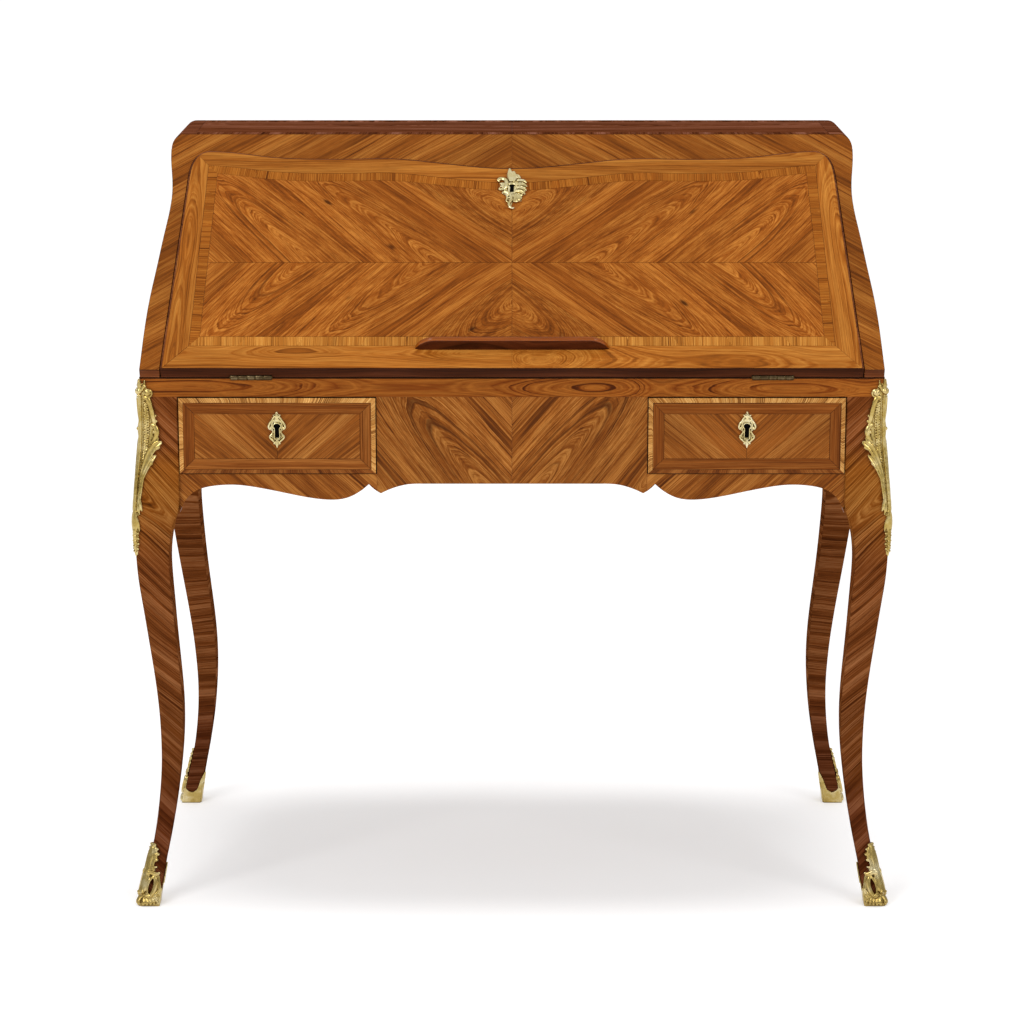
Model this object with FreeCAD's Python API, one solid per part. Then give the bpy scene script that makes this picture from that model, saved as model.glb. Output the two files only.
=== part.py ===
import FreeCAD, Part
import os, math
from FreeCAD import Vector as V

os.makedirs("parts", exist_ok=True)

# ---------------------------------------------------------------- driving dimensions (mm)
# X to the right, front of the desk towards -Y, Z up, origin on the floor under the middle.
CASE_HALF_W = 485.0        # half width of the frieze
Y_FRONT = -225.0           # front face of the frieze
Y_BACK = 225.0             # back face of the case
Z_PIVOT = 719.0            # lid pivot = level of the writing surface
Z_TOP = 1007.0             # upper face of the top board
TOP_T = 18.0               # top board thickness
TOP_END_R = 16.0           # rounding of the top board's ends
SLOPE_DEG = 45.0           # slope of the closed lid
LID_T = 20.0               # lid thickness
FRAME_T = 17.0             # thickness of the sloping frame around the lid (lid stands 3 proud)
LID_GAP = 0.8              # gap between lid and frame
LID_OPEN_DEG = 135.0       # lid opens to level

POST = 49.0                # leg post, square
RAIL_Z0 = 693.0            # underside of the front top rail
DRAWER_Z0 = 590.5          # underside of the drawer openings
DRAWER_X0 = 177.0          # inner end of a drawer opening
DRAWER_X1 = 436.0          # outer end of a drawer opening
FRONT_T = 22.0             # thickness of apron, centre panel and drawer fronts
DRAWER_PROUD = 6.0         # drawer fronts stand proud of the frieze
DRAWER_CHAMFER = 3.5
DRAWER_GAP = 1.0
DRAWER_DEPTH = 359.0       # drawer sides, behind the front
DRAWER_SIDE_T = 9.0

BED_T = 16.0               # writing bed
SIDE_T = 20.0              # side frieze
BACK_T = 12.0              # upper back panel

WELL_HX = 132.0            # half width of the well, inside
WELL_Y0, WELL_Y1 = -168.0, -48.0
WELL_Z0 = 603.0
WELL_WALL = 8.0
COVER_T = 8.0
COVER_TRAVEL = 110.0

UNIT_Y0 = -40.0            # front of the lower tier of the fitted interior
UNIT_UP_Y0 = 60.0          # front of the pigeonholes
UNIT_Z1 = 795.0            # underside of the shelf
SHELF_T = 6.0
NICHE_HX = 146.0           # half width of the open niche

HINGE_X = 339.5            # middle of each hinge
HINGE_L = 54.0
KNUCKLE_R = 3.6
PIN_R = 1.5
PIN_CLEAR = 0.05
LEAF_T = 1.6
LEAF_W = 30.0

REST_HALF = 126.0          # book rest
REST_S0, REST_S1 = 29.6, 36.6
REST_H = 22.0

C45 = math.cos(math.radians(SLOPE_DEG))

# leg outline: height, outer edge, inner edge (as seen from the front, measured from the middle)
LEG = [(693, 485, 436), (650, 485.2, 436), (620, 487, 436), (590, 490.5, 436), (565, 493, 436),
       (548, 494.3, 436.3), (540, 494.7, 438), (528, 495, 443), (515, 495, 446.5), (501, 494.8, 449),
       (475, 494, 451), (447, 492, 450.2), (420, 488.7, 448.6), (393, 485.3, 447), (366, 482, 445.3),
       (339, 478.7, 443.4), (312, 475.6, 441.5), (285, 473, 440), (257, 471, 439.5), (229, 470, 440.3),
       (201, 469.8, 442.4), (173, 470.9, 445.5), (145, 473.2, 449.3), (117, 476.5, 453.9), (89, 481, 459),
       (61, 487.3, 464.8), (33, 494, 470), (12, 499, 473.3), (0, 501.5, 474.8)]
REAR_IN = 14.0                            # rear feet stand this much nearer the middle
# corner mount: height, reach along each face
CHUTE = [(718, 13), (706, 17), (690, 20), (672, 24), (655, 29), (640, 34), (633, 35), (625, 31),
         (612, 25), (590, 18), (562, 14), (535, 11.5), (510, 10), (495, 8), (482, 4)]
CHUTE_PROUD = 5.0
# side of the upper case: height, half width outside
SIDE = [(719, 484.5), (745, 482.8), (780, 480.4), (815, 476.2), (850, 470), (885, 464), (915, 458.5),
        (938, 456.8), (962, 459.4), (978, 461.6), (989, 462)]
SIDE_IN_A, SIDE_IN_B = 458.9, 0.0926      # inner face: a - b (z - Z_PIVOT)
# lid outline, upper edge: half width, distance up the slope
LID_TOP = [(410, 360), (385, 358), (359, 354.7), (338, 351.3), (317.6, 348.7), (292, 347), (268.7, 346.2),
           (244, 346), (219.8, 346.2), (196, 347), (172.4, 347.3), (152, 346.3), (134, 344.6), (116.6, 342.2),
           (91, 338.7), (65, 335.2), (42, 332.4), (19.5, 330.7), (0, 330.2)]
LID_HALF0 = 456.8
# front apron, lower edge: half width, height
APRON_A = [(436, 538.5), (427, 557), (412, 569), (398.5, 573.2), (379, 575.6), (362, 575.8), (338, 573),
           (299, 565.3), (258.4, 557.5), (238.7, 555.8), (218.4, 557.8), (202, 565.3), (187.6, 576.7)]
APRON_B = [(187.6, 576.7), (180, 569.5), (171.9, 564.4)]
APRON_C = [(171.9, 564.4), (158.7, 570.5), (141.6, 575.6), (118, 577.2)]
SIDE_APRON = [(176, 538.5), (168, 556), (154, 568.5), (136, 574), (112, 574.5), (80, 569), (40, 561.5), (0, 559)]


# ---------------------------------------------------------------- helpers
def box(x0, y0, z0, x1, y1, z1):
    return Part.makeBox(x1 - x0, y1 - y0, z1 - z0, V(x0, y0, z0))


def poly_xz(pts, y0, y1):
    w = Part.makePolygon([V(x, y0, z) for x, z in pts] + [V(pts[0][0], y0, pts[0][1])])
    return Part.Face(w).extrude(V(0, y1 - y0, 0))


def poly_yz(pts, x0, x1):
    w = Part.makePolygon([V(x0, y, z) for y, z in pts] + [V(x0, pts[0][0], pts[0][1])])
    return Part.Face(w).extrude(V(x1 - x0, 0, 0))


def poly_xy(pts, z0, z1):
    w = Part.makePolygon([V(x, y, z0) for x, y in pts] + [V(pts[0][0], pts[0][1], z0)])
    return Part.Face(w).extrude(V(0, 0, z1 - z0))


def fine(pts, n=5):
    """points along a smooth curve through pts"""
    if len(pts) < 3:
        return list(pts)
    c = Part.BSplineCurve()
    c.interpolate([V(a, b, 0) for a, b in pts])
    out = []
    ts = [c.parameter(V(a, b, 0)) for a, b in pts]
    for i in range(len(ts) - 1):
        for k in range(n):
            p = c.value(ts[i] + (ts[i + 1] - ts[i]) * k / n)
            out.append((p.x, p.y))
    out.append(pts[-1])
    return out


def slope(shape):
    """from flat lid coordinates (x, distance up the slope, height above the lid's inner face)"""
    s = shape.copy()
    s.rotate(V(0, 0, 0), V(1, 0, 0), SLOPE_DEG)
    s.translate(V(0, Y_FRONT, Z_PIVOT))
    return s


def mirror_x(shape):
    return shape.mirror(V(0, 0, 0), V(1, 0, 0))


def mirror_y(shape):
    return shape.mirror(V(0, 0, 0), V(0, 1, 0))


def fuse(shapes):
    s = shapes[0]
    if len(shapes) > 1:
        s = s.fuse(shapes[1:])
    s = s.removeSplitter()
    return s


def cut(a, *bs):
    for b in bs:
        a = a.cut(b)
    return a


def one(s):
    """the single solid of a shape"""
    sol = sorted(s.Solids, key=lambda q: -q.Volume)
    return sol[0]


def group(shapes):
    sols = []
    for s in shapes:
        sols += s.Solids
    return Part.makeCompound(sols)


NODES = {}


def put(name, shape):
    NODES[name] = shape


def ruled(sections):
    return Part.makeLoft(sections, True, True)


def rect_wire(x0, y0, x1, y1, z):
    return Part.makePolygon([V(x0, y0, z), V(x1, y0, z), V(x1, y1, z), V(x0, y1, z), V(x0, y0, z)])


# ---------------------------------------------------------------- legs (front right, then mirrored)
def leg_y(out):
    return Y_FRONT - (out - CASE_HALF_W)


def rear_shift(z):
    """how far a rear leg stands nearer the middle than a front leg"""
    t = min(max((475.0 - z) / 358.0, 0.0), 1.0)
    return REAR_IN * t * t * (3.0 - 2.0 * t)


def leg_right(shift):
    secs = []
    for z, o, i in reversed(LEG):
        d = shift(z)
        secs.append(rect_wire(i - d, leg_y(o), o - d, leg_y(o) + (o - i), z))
    return ruled(secs)


LEG_FR = leg_right(lambda z: 0.0)
LEG_TOP_R = box(DRAWER_X1, Y_FRONT, RAIL_Z0, CASE_HALF_W, Y_FRONT + POST, Z_PIVOT)
REAR_R = mirror_y(leg_right(rear_shift).fuse(LEG_TOP_R).removeSplitter())


def leg_at(z):
    for (z1, o1, i1), (z0, o0, i0) in zip(LEG, LEG[1:]):
        if z0 <= z <= z1:
            t = (z - z0) / float(z1 - z0)
            return o0 + (o1 - o0) * t, i0 + (i1 - i0) * t
    return LEG[0][1], LEG[0][2]


# corner mount on the front legs, a shell on the two outer faces
def chute_right():
    secs = []
    for z, a in reversed(CHUTE):
        o, i = leg_at(z)
        y = leg_y(o)
        p = CHUTE_PROUD if a > 6 else 3.5
        secs.append(rect_wire(o - a, y - p, o + p, y + a, z))
    s = ruled(secs)
    s = s.cut(LEG_FR).cut(box(DRAWER_X1, Y_FRONT, RAIL_Z0 - 0.01, CASE_HALF_W, Y_FRONT + POST, Z_PIVOT + 5))
    return one(s)


CHUTE_R = chute_right()


# foot shoe: higher on the outer corner than on the inner one
def sabot_right():
    secs = []
    for z, d in [(0, 6.0), (8, 6.5), (20, 4.6), (33, 4.0), (61, 3.4), (92, 2.6)]:
        o, i = leg_at(z)
        y = leg_y(o)
        e = 2.0
        secs.append(rect_wire(i - e, y - d, o + d, y + (o - i) + e, z))
    s = ruled(secs).cut(LEG_FR)
    # sloping upper rim
    o, i = leg_at(60)
    w = 80.0
    cutter = Part.makeBox(300, 300, 300, V(-150, -150, 0))
    cutter.rotate(V(0, 0, 0), V(1, 1, 0), -34.0)
    cutter.translate(V((o + i) / 2.0, leg_y(o) + (o - i) / 2.0, 56.0))
    s2 = s.cut(cutter)
    return one(s2)


SABOT_R = sabot_right()
SABOT_RR = mirror_y(SABOT_R)
SABOT_RR.translate(V(-REAR_IN, 0, 0))

put("leg_front_right", one(LEG_FR))
put("leg_front_left", one(mirror_x(LEG_FR)))
put("leg_rear_right", one(REAR_R))
put("leg_rear_left", one(mirror_x(REAR_R)))
put("corner_mount_right", CHUTE_R)
put("corner_mount_left", one(mirror_x(CHUTE_R)))
put("sabot_front_right", SABOT_R)
put("sabot_front_left", one(mirror_x(SABOT_R)))
put("sabot_rear_right", one(SABOT_RR))
put("sabot_rear_left", one(mirror_x(SABOT_RR)))

# ---------------------------------------------------------------- hinges
KN = 5
KN_GAP = 0.4
KN_L = (HINGE_L - KN_GAP * (KN - 1)) / KN


def cyl_x(x0, x1, y, z, r):
    return Part.makeCylinder(r, x1 - x0, V(x0, y, z), V(1, 0, 0))


def leaf_flat(xc, mine):
    """leaf in a flat frame: pin on the X axis, leaf going to +Y just under z = 0"""
    x0 = xc - HINGE_L / 2.0
    parts = [box(x0, KNUCKLE_R + 0.7, -LEAF_T, x0 + HINGE_L, LEAF_W, 0)]
    for k in range(KN):
        if (k % 2 == 0) == mine:
            a = x0 + k * (KN_L + KN_GAP)
            parts.append(cyl_x(a, a + KN_L, 0, 0, KNUCKLE_R))
            parts.append(box(a, 0, -LEAF_T, a + KN_L, KNUCKLE_R + 1.5, 0))
    s = fuse(parts)
    r = PIN_R if mine else PIN_R + PIN_CLEAR
    s = s.cut(cyl_x(x0 - 5, x0 + HINGE_L + 5, 0, 0, r))
    return s


def screws_flat(xc):
    out = []
    for dx, y in ((-19, 15), (0, 21), (19, 15)):
        head = Part.makeCone(1.4, 3.0, LEAF_T, V(xc + dx, y, -LEAF_T), V(0, 0, 1))
        shank = Part.makeCylinder(1.4, 11.0, V(xc + dx, y, -LEAF_T - 11.0), V(0, 0, 1))
        out.append(fuse([head, shank]))
    return out


def to_rail(s):
    q = s.copy()
    q.translate(V(0, Y_FRONT, Z_PIVOT))
    return q


def to_lid(s):
    # the lid's leaf lies in the inner face: turn it over so that it sinks into the lid
    q = s.copy()
    q = q.mirror(V(0, 0, 0), V(0, 0, 1))
    return slope(q)


RAIL_LEAVES, LID_LEAVES, RAIL_SCREWS, LID_SCREWS, PINS = [], [], [], [], []
RAIL_SINK, LID_SINK = [], []
for xc in (-HINGE_X, HINGE_X):
    lf = leaf_flat(xc, True)
    ll = leaf_flat(xc, False)
    sc = screws_flat(xc)
    RAIL_LEAVES.append(one(to_rail(cut(lf, *sc))))
    LID_LEAVES.append(one(to_lid(cut(ll, *sc))))
    RAIL_SCREWS += [to_rail(q) for q in sc]
    LID_SCREWS += [to_lid(q) for q in sc]
    PINS.append(cyl_x(xc - HINGE_L / 2 - 0.4, xc + HINGE_L / 2 + 0.4, Y_FRONT, Z_PIVOT, PIN_R))
    x0, x1 = xc - HINGE_L / 2, xc + HINGE_L / 2
    gain = cyl_x(x0 - 0.6, x1 + 0.6, 0, 0, KNUCKLE_R + 0.5)
    RAIL_SINK.append(to_rail(fuse([gain, box(x0, 0, -LEAF_T, x1, LEAF_W, 5)])))
    LID_SINK.append(to_lid(fuse([gain, box(x0, 0, -LEAF_T, x1, LEAF_W, 5)])))
put("hinge_rail_leaves", group(RAIL_LEAVES))
put("hinge_lid_leaves", group(LID_LEAVES))
put("hinge_pins", group(PINS))
put("hinge_rail_screws", group(RAIL_SCREWS))
put("hinge_lid_screws", group(LID_SCREWS))

# ---------------------------------------------------------------- locks
# drawer lock: a box let into the back of the drawer front, bolt rising into the top rail
BOLT_TRAVEL = 7.0
ESC_Z = 651.0
DRAWER_XC = (DRAWER_X0 + DRAWER_X1) / 2.0
D_Y0 = Y_FRONT - DRAWER_PROUD
D_Y1 = D_Y0 + FRONT_T
D_Z0, D_Z1 = DRAWER_Z0 + DRAWER_GAP, RAIL_Z0 - DRAWER_GAP


def keyhole_xz(xc, zc, y0, y1, r=3.0, w=2.6, drop=9.0):
    c = Part.makeCylinder(r, y1 - y0, V(xc, y0, zc), V(0, 1, 0))
    b = box(xc - w / 2, y0, zc - drop, xc + w / 2, y1, zc)
    return c.fuse(b).removeSplitter()


def cartouche(w, h, n=48, waist=0.14):
    """outline of a small keyhole plate, centred on the origin"""
    pts = []
    for k in range(n):
        t = 2 * math.pi * k / n
        r = 1.0 - waist * (0.5 - 0.5 * math.cos(4 * t)) + 0.05 * math.cos(8 * t)
        pts.append((0.5 * w * r * math.sin(t) / 1.05, 0.5 * h * r * math.cos(t) / 1.05))
    return pts


def drawer_right():
    xc = DRAWER_XC
    x0, x1 = DRAWER_X0 + DRAWER_GAP, DRAWER_X1 - DRAWER_GAP
    front = box(x0, D_Y0, D_Z0, x1, D_Y1, D_Z1)
    edges = [e for e in front.Edges if all(abs(v.Point.y - D_Y0) < 1e-6 for v in e.Vertexes)]
    front = front.makeChamfer(DRAWER_CHAMFER, edges)
    # lock case 54 x 12 x 52 high in the back of the front
    lock = box(xc - 27, D_Y1 - 12, 632, xc + 27, D_Y1, 684)
    bolt_slot = box(xc - 11.3, D_Y1 - 9.3, 655.7, xc + 11.3, D_Y1 - 2.7, D_Z1 + 5)
    bolt = box(xc - 11, D_Y1 - 9, 656, xc + 11, D_Y1 - 3, D_Z1 - 0.6)
    key_front = keyhole_xz(xc, ESC_Z, D_Y0 - 5, D_Y1 - 12)
    key_lock = keyhole_xz(xc, ESC_Z, D_Y1 - 12.01, D_Y1 - 10.2)
    front = cut(front, lock, bolt_slot, key_front)
    lock = cut(lock, bolt_slot, key_lock)
    esc = poly_xz([(xc + a, ESC_Z + b) for a, b in cartouche(25.0, 48.0)], D_Y0 - 2.6, D_Y0)
    esc = esc.cut(keyhole_xz(xc, ESC_Z, D_Y0 - 5, D_Y0 + 1))
    zs0, zs1 = 593.0, 683.0
    yb = D_Y1 + DRAWER_DEPTH
    s1 = box(x0 + 2, D_Y1, zs0, x0 + 2 + DRAWER_SIDE_T, yb, zs1)
    s2 = box(x1 - 2 - DRAWER_SIDE_T, D_Y1, zs0, x1 - 2, yb, zs1)
    bk = box(x0 + 2 + DRAWER_SIDE_T, yb - 9, zs0 + 9, x1 - 2 - DRAWER_SIDE_T, yb, zs1)
    bt = box(x0 + 2 + DRAWER_SIDE_T, D_Y1, zs0 + 3, x1 - 2 - DRAWER_SIDE_T, yb, zs0 + 9)
    return dict(front=one(front), sides=[s1, s2], back=bk, bottom=bt, escutcheon=one(esc), lock=one(lock), bolt=bolt)


DR = drawer_right()
DRAWER_BOLT_XC = DRAWER_XC
for side, f in (("right", lambda s: s), ("left", mirror_x)):
    put("drawer_%s_front" % side, one(f(DR["front"])))
    put("drawer_%s_sides_and_back" % side, group([f(q) for q in DR["sides"] + [DR["back"]]]))
    put("drawer_%s_bottom" % side, one(f(DR["bottom"])))
    put("drawer_%s_escutcheon" % side, one(f(DR["escutcheon"])))
    put("drawer_%s_lock" % side, one(f(DR["lock"])))
    put("drawer_%s_bolt" % side, one(f(DR["bolt"])))

# ---------------------------------------------------------------- front of the frieze
rail = box(-CASE_HALF_W, Y_FRONT, RAIL_Z0, CASE_HALF_W, Y_FRONT + POST, Z_PIVOT)
rail = cut(rail, *RAIL_SINK)
rail = cut(rail, *RAIL_SCREWS)
for sx in (-1, 1):
    xc = sx * DRAWER_BOLT_XC
    rail = rail.cut(box(xc - 12, D_Y1 - 10, RAIL_Z0 - 1, xc + 12, D_Y1 - 2, RAIL_Z0 + 9))
put("front_top_rail", one(rail))

low = fine(APRON_A, 4)[:-1] + fine(APRON_B, 3)[:-1] + fine(APRON_C, 4)
right = [(x, z) for x, z in low]
left = [(-x, z) for x, z in reversed(low)]
apron = poly_xz([(DRAWER_X1, DRAWER_Z0)] + right + left + [(-DRAWER_X1, DRAWER_Z0)], Y_FRONT, Y_FRONT + FRONT_T)
put("front_apron_rail", one(apron))
put("front_centre_panel", box(-DRAWER_X0, Y_FRONT, DRAWER_Z0, DRAWER_X0, Y_FRONT + FRONT_T, RAIL_Z0))

# ---------------------------------------------------------------- sides and back of the frieze
Y_POST = -Y_FRONT - POST       # inner faces of the posts
sa = fine(SIDE_APRON, 4)
prof = [(y, z) for y, z in sa] + [(-y, z) for y, z in reversed(sa[:-1])]
side_f = poly_yz([(Y_POST, Z_PIVOT)] + prof + [(-Y_POST, Z_PIVOT)], CASE_HALF_W - SIDE_T, CASE_HALF_W)
put("side_frieze_right", one(side_f))
put("side_frieze_left", one(mirror_x(side_f)))
put("back_frieze_rail", box(-DRAWER_X1, Y_BACK - 20, 585, DRAWER_X1, Y_BACK, Z_PIVOT))

# partitions beside the drawers, runners under them
Y_IN0, Y_IN1 = Y_FRONT + FRONT_T, Y_BACK - 20
part_r = box(DRAWER_X0 - 12, Y_IN0, 580, DRAWER_X0, Y_IN1, Z_PIVOT - BED_T)
part_r = part_r.cut(box(DRAWER_X0 - 13, Y_FRONT, RAIL_Z0, DRAWER_X0 + 1, Y_FRONT + POST, Z_PIVOT))
put("drawer_partitions", group([part_r, mirror_x(part_r)]))
run_in = box(DRAWER_X0, Y_IN0, 580, DRAWER_X0 + 16, Y_IN1, 592.6)
run_out = box(DRAWER_X1 - 16, -Y_POST, 580, CASE_HALF_W - SIDE_T, Y_POST, 592.6)
put("drawer_runners", group([run_in, run_out, mirror_x(run_in), mirror_x(run_out)]))

# ---------------------------------------------------------------- writing bed with its well
bed = box(-(CASE_HALF_W - SIDE_T), -Y_POST, Z_PIVOT - BED_T, CASE_HALF_W - SIDE_T, Y_IN1, Z_PIVOT)
for sx in (-1, 1):
    bed = bed.cut(box(sx * 465 - 29, Y_POST, 690, sx * 465 + 29, Y_BACK, 740))
bed = bed.cut(box(-WELL_HX, WELL_Y0, 690, WELL_HX, WELL_Y1, 740))
cov_x = WELL_HX + 8.0
cov_y0, cov_y1 = WELL_Y0 - 4.0, WELL_Y1 + 8.0
bed = bed.cut(box(-cov_x - 0.4, cov_y0 - 0.4, Z_PIVOT - COVER_T - 0.8, cov_x + 0.4, cov_y1 + COVER_TRAVEL + 0.6, 740))
put("writing_bed", one(bed))
cover = box(-cov_x, cov_y0, Z_PIVOT - COVER_T - 0.4, cov_x, cov_y1, Z_PIVOT - 0.4)
# finger groove across the front part of the cover
groove = Part.makeCylinder(9.0, 46.0, V(-23, cov_y0 + 22, Z_PIVOT + 4.2), V(1, 0, 0))
cover = cover.cut(groove)
put("well_cover", one(cover))
wx, wy0, wy1 = WELL_HX + WELL_WALL, WELL_Y0 - WELL_WALL, WELL_Y1 + WELL_WALL
zb = Z_PIVOT - BED_T
walls = [box(-wx, wy0, WELL_Z0, -WELL_HX, wy1, zb), box(WELL_HX, wy0, WELL_Z0, wx, wy1, zb),
         box(-WELL_HX, wy0, WELL_Z0, WELL_HX, WELL_Y0, zb), box(-WELL_HX, WELL_Y1, WELL_Z0, WELL_HX, wy1, zb)]
put("well_box", group(walls + [box(-wx, wy0, WELL_Z0 - 6, wx, wy1, WELL_Z0)]))

# ---------------------------------------------------------------- upper case
def x_in(z):
    return SIDE_IN_A - SIDE_IN_B * (z - Z_PIVOT)


Z_TU = Z_TOP - TOP_T
so = fine([(x, z) for z, x in SIDE], 4)
side_xz = poly_xz([(x_in(Z_TU), Z_TU), (x_in(Z_PIVOT), Z_PIVOT)] + so, -400, 400)
nf = FRAME_T * C45
side_yz = poly_yz([(Y_FRONT, Z_PIVOT), (Y_FRONT - nf, Z_PIVOT + nf),
                   (Y_FRONT + (Z_TU - Z_PIVOT - 2 * nf), Z_TU), (Y_BACK, Z_TU), (Y_BACK, Z_PIVOT)], 300, 600)
side_p = one(side_xz.common(side_yz))
put("side_panel_right", side_p)
put("side_panel_left", one(mirror_x(side_p)))
back = poly_xz([(x_in(Z_PIVOT), Z_PIVOT), (x_in(Z_TU), Z_TU), (-x_in(Z_TU), Z_TU), (-x_in(Z_PIVOT), Z_PIVOT)],
               Y_BACK - BACK_T, Y_BACK)
put("back_panel", one(back))

# top board: rounded ends, front edge cut to the slope
xe = SIDE[-1][1]
arc = []
for k in range(13):
    t = math.radians(90.0 * k / 12)
    arc.append((xe - TOP_END_R + TOP_END_R * math.cos(t), Z_TOP - TOP_END_R + TOP_END_R * math.sin(t)))
ends = [(xe, Z_TU)] + arc
top_xz = poly_xz(ends + [(-x, z) for x, z in reversed(ends)], -400, 400)
top_yz = poly_yz([(Y_FRONT + (Z_TU - Z_PIVOT - 2 * nf), Z_TU), (Y_FRONT + (Z_TOP - Z_PIVOT - 2 * nf), Z_TOP),
                  (Y_BACK, Z_TOP), (Y_BACK, Z_TU)], -600, 600)
put("top_board", one(top_xz.common(top_yz)))

# ---------------------------------------------------------------- lid
def lid_half(s):
    return LID_HALF0 - SIDE_IN_B * C45 * s


top_curve = fine(LID_TOP, 3)
# rounded upper corner between the straight side and the serpentine upper edge
s_c = 318.0
corner = []
p0, p1, p2 = (lid_half(s_c), s_c), (lid_half(s_c) - 3.0, 357.0), LID_TOP[0]
for k in range(1, 10):
    t = k / 10.0
    corner.append(((1 - t) ** 2 * p0[0] + 2 * t * (1 - t) * p1[0] + t * t * p2[0],
                   (1 - t) ** 2 * p0[1] + 2 * t * (1 - t) * p1[1] + t * t * p2[1]))
half = [(lid_half(0.4), 0.4), p0] + corner + top_curve
lid_out = half + [(-x, s) for x, s in reversed(half[:-1])]
lid = slope(poly_xy(lid_out, 0, LID_T))

# frame piece above the lid: same curve, a gap above it
gap = [(x, s + LID_GAP) for x, s in top_curve]
gapc = [(p0[0] + 12, p0[1] - 20), (p0[0] + LID_GAP, p0[1])] + [(x + LID_GAP * 0.7, s + LID_GAP * 0.7) for x, s in corner]
hb = gapc + gap
fascia = slope(poly_xy([(500, hb[0][1])] + hb + [(-x, s) for x, s in reversed(hb[:-1])] + [(-500, hb[0][1]), (-500, 420), (500, 420)], 0, FRAME_T))
cav = poly_xz([(x_in(Z_PIVOT), Z_PIVOT), (x_in(Z_TU), Z_TU), (-x_in(Z_TU), Z_TU), (-x_in(Z_PIVOT), Z_PIVOT)], -400, 400)
fascia = fascia.common(cav)

# lock of the lid: case flush with the inner face, bolt sliding up the slope into the frame piece
LOCK_S0, LOCK_S1 = 282.0, 322.0
lock_f = box(-30, LOCK_S0, 0, 30, LOCK_S1, 12)
slot_f = box(-12.3, 297.7, 2.7, 12.3, 345.0, 9.3)
bolt_f = box(-12, 298, 3, 12, 329.6, 9)
key_c = 303.0


def keyhole_flat(xc, sc, n0, n1, r=3.0, w=2.6, drop=9.0):
    c = Part.makeCylinder(r, n1 - n0, V(xc, sc, n0), V(0, 0, 1))
    return c.fuse(box(xc - w / 2, sc - drop, n0, xc + w / 2, sc, n1)).removeSplitter()


key_lid = keyhole_flat(0, key_c - 5, 11.9, 40)
key_case = keyhole_flat(0, key_c - 5, 10.2, 12.1)
leather_f = box(-390, 52, 0, 390, 268, 1.4)
lid = cut(lid, slope(lock_f), slope(slot_f), slope(key_lid), slope(leather_f))
lid = cut(lid, *LID_SINK)
lid = cut(lid, *LID_SCREWS)
put("lid_panel", one(lid))
put("lid_leather", slope(leather_f))
put("lid_lock", one(slope(cut(lock_f, slot_f, key_case))))
put("lid_bolt", slope(bolt_f))
strike = box(-13.3, 320, 1.7, 13.3, 344, 10.3)
put("upper_fascia", one(fascia.cut(slope(strike))))
esc_pts = [(a, b) for a, b in cartouche(41.0, 68.0)]
esc = poly_xy([(a, key_c - 10 + b) for a, b in esc_pts], LID_T, LID_T + 3.0)
esc = esc.cut(keyhole_flat(0, key_c - 5, LID_T - 1, LID_T + 5))
put("lid_escutcheon", one(slope(esc)))
# book rest: a boat-shaped ledge
rest = Part.Face(Part.makePolygon([V(-REST_HALF, 0, LID_T), V(REST_HALF, 0, LID_T), V(REST_HALF - 4, 0, LID_T + 5),
                                   V(REST_HALF - 22, 0, LID_T + REST_H), V(-REST_HALF + 22, 0, LID_T + REST_H),
                                   V(-REST_HALF + 4, 0, LID_T + 5), V(-REST_HALF, 0, LID_T)])).extrude(V(0, REST_S1 - REST_S0, 0))
rest.translate(V(0, REST_S0, 0))
put("book_rest", one(slope(rest)))

# battens that the closed lid rests on
slab = slope(box(380, 40, -10.3, 500, 345, -0.3))
cav2 = poly_xz([(x_in(Z_PIVOT) - 7, Z_PIVOT), (x_in(Z_TU) - 7, Z_TU), (-500, Z_TU), (-500, Z_PIVOT)], -400, 400)
bat = one(slab.common(cav).cut(cav2))
put("lid_stop_battens", group([bat, mirror_x(bat)]))

# ---------------------------------------------------------------- fitted interior
Y_BI = Y_BACK - BACK_T
floor = box(-452, UNIT_Y0, Z_PIVOT, 452, Y_BI, Z_PIVOT + 6)
put("unit_floor", floor)
shelf = box(-449, UNIT_Y0, UNIT_Z1, 449, Y_BI, UNIT_Z1 + SHELF_T)
put("unit_shelf", shelf)
low_div = [box(NICHE_HX, UNIT_Y0 + 2, Z_PIVOT + 6, NICHE_HX + 6, Y_BI, UNIT_Z1),
           box(443, UNIT_Y0 + 2, Z_PIVOT + 6, 449, Y_BI, UNIT_Z1)]
put("unit_lower_walls", group(low_div + [mirror_x(q) for q in low_div]))
up = []
for xd in (-292, -146, 146, 292):
    up.append(box(xd - 3, UNIT_UP_Y0, UNIT_Z1 + SHELF_T, xd + 3, Y_BI, Z_TU))
put("pigeonhole_dividers", group(up))

SD_X0, SD_X1 = NICHE_HX + 6 + 0.8, 443 - 0.8
SD_Z0, SD_Z1 = Z_PIVOT + 6 + 0.8, UNIT_Z1 - 0.8
SD_FT = 13.0
SD_BACK = 185.0
SDX = (SD_X0 + SD_X1) / 2
sf = box(SD_X0, UNIT_Y0 + 2, SD_Z0, SD_X1, UNIT_Y0 + 2 + SD_FT, SD_Z1)
zk = (SD_Z0 + SD_Z1) / 2
shank = Part.makeCylinder(2.0, 10.0, V(SDX, UNIT_Y0 + 2, zk), V(0, 1, 0))
sf = sf.cut(shank)
y0 = UNIT_Y0 + 2 + SD_FT
tray = [box(SD_X0 + 0.6, y0, SD_Z0, SD_X0 + 6.6, SD_BACK, SD_Z1 - 8),
        box(SD_X1 - 6.6, y0, SD_Z0, SD_X1 - 0.6, SD_BACK, SD_Z1 - 8),
        box(SD_X0 + 6.6, SD_BACK - 6, SD_Z0 + 4, SD_X1 - 6.6, SD_BACK, SD_Z1 - 8),
        box(SD_X0 + 6.6, y0, SD_Z0, SD_X1 - 6.6, SD_BACK, SD_Z0 + 4)]
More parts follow.
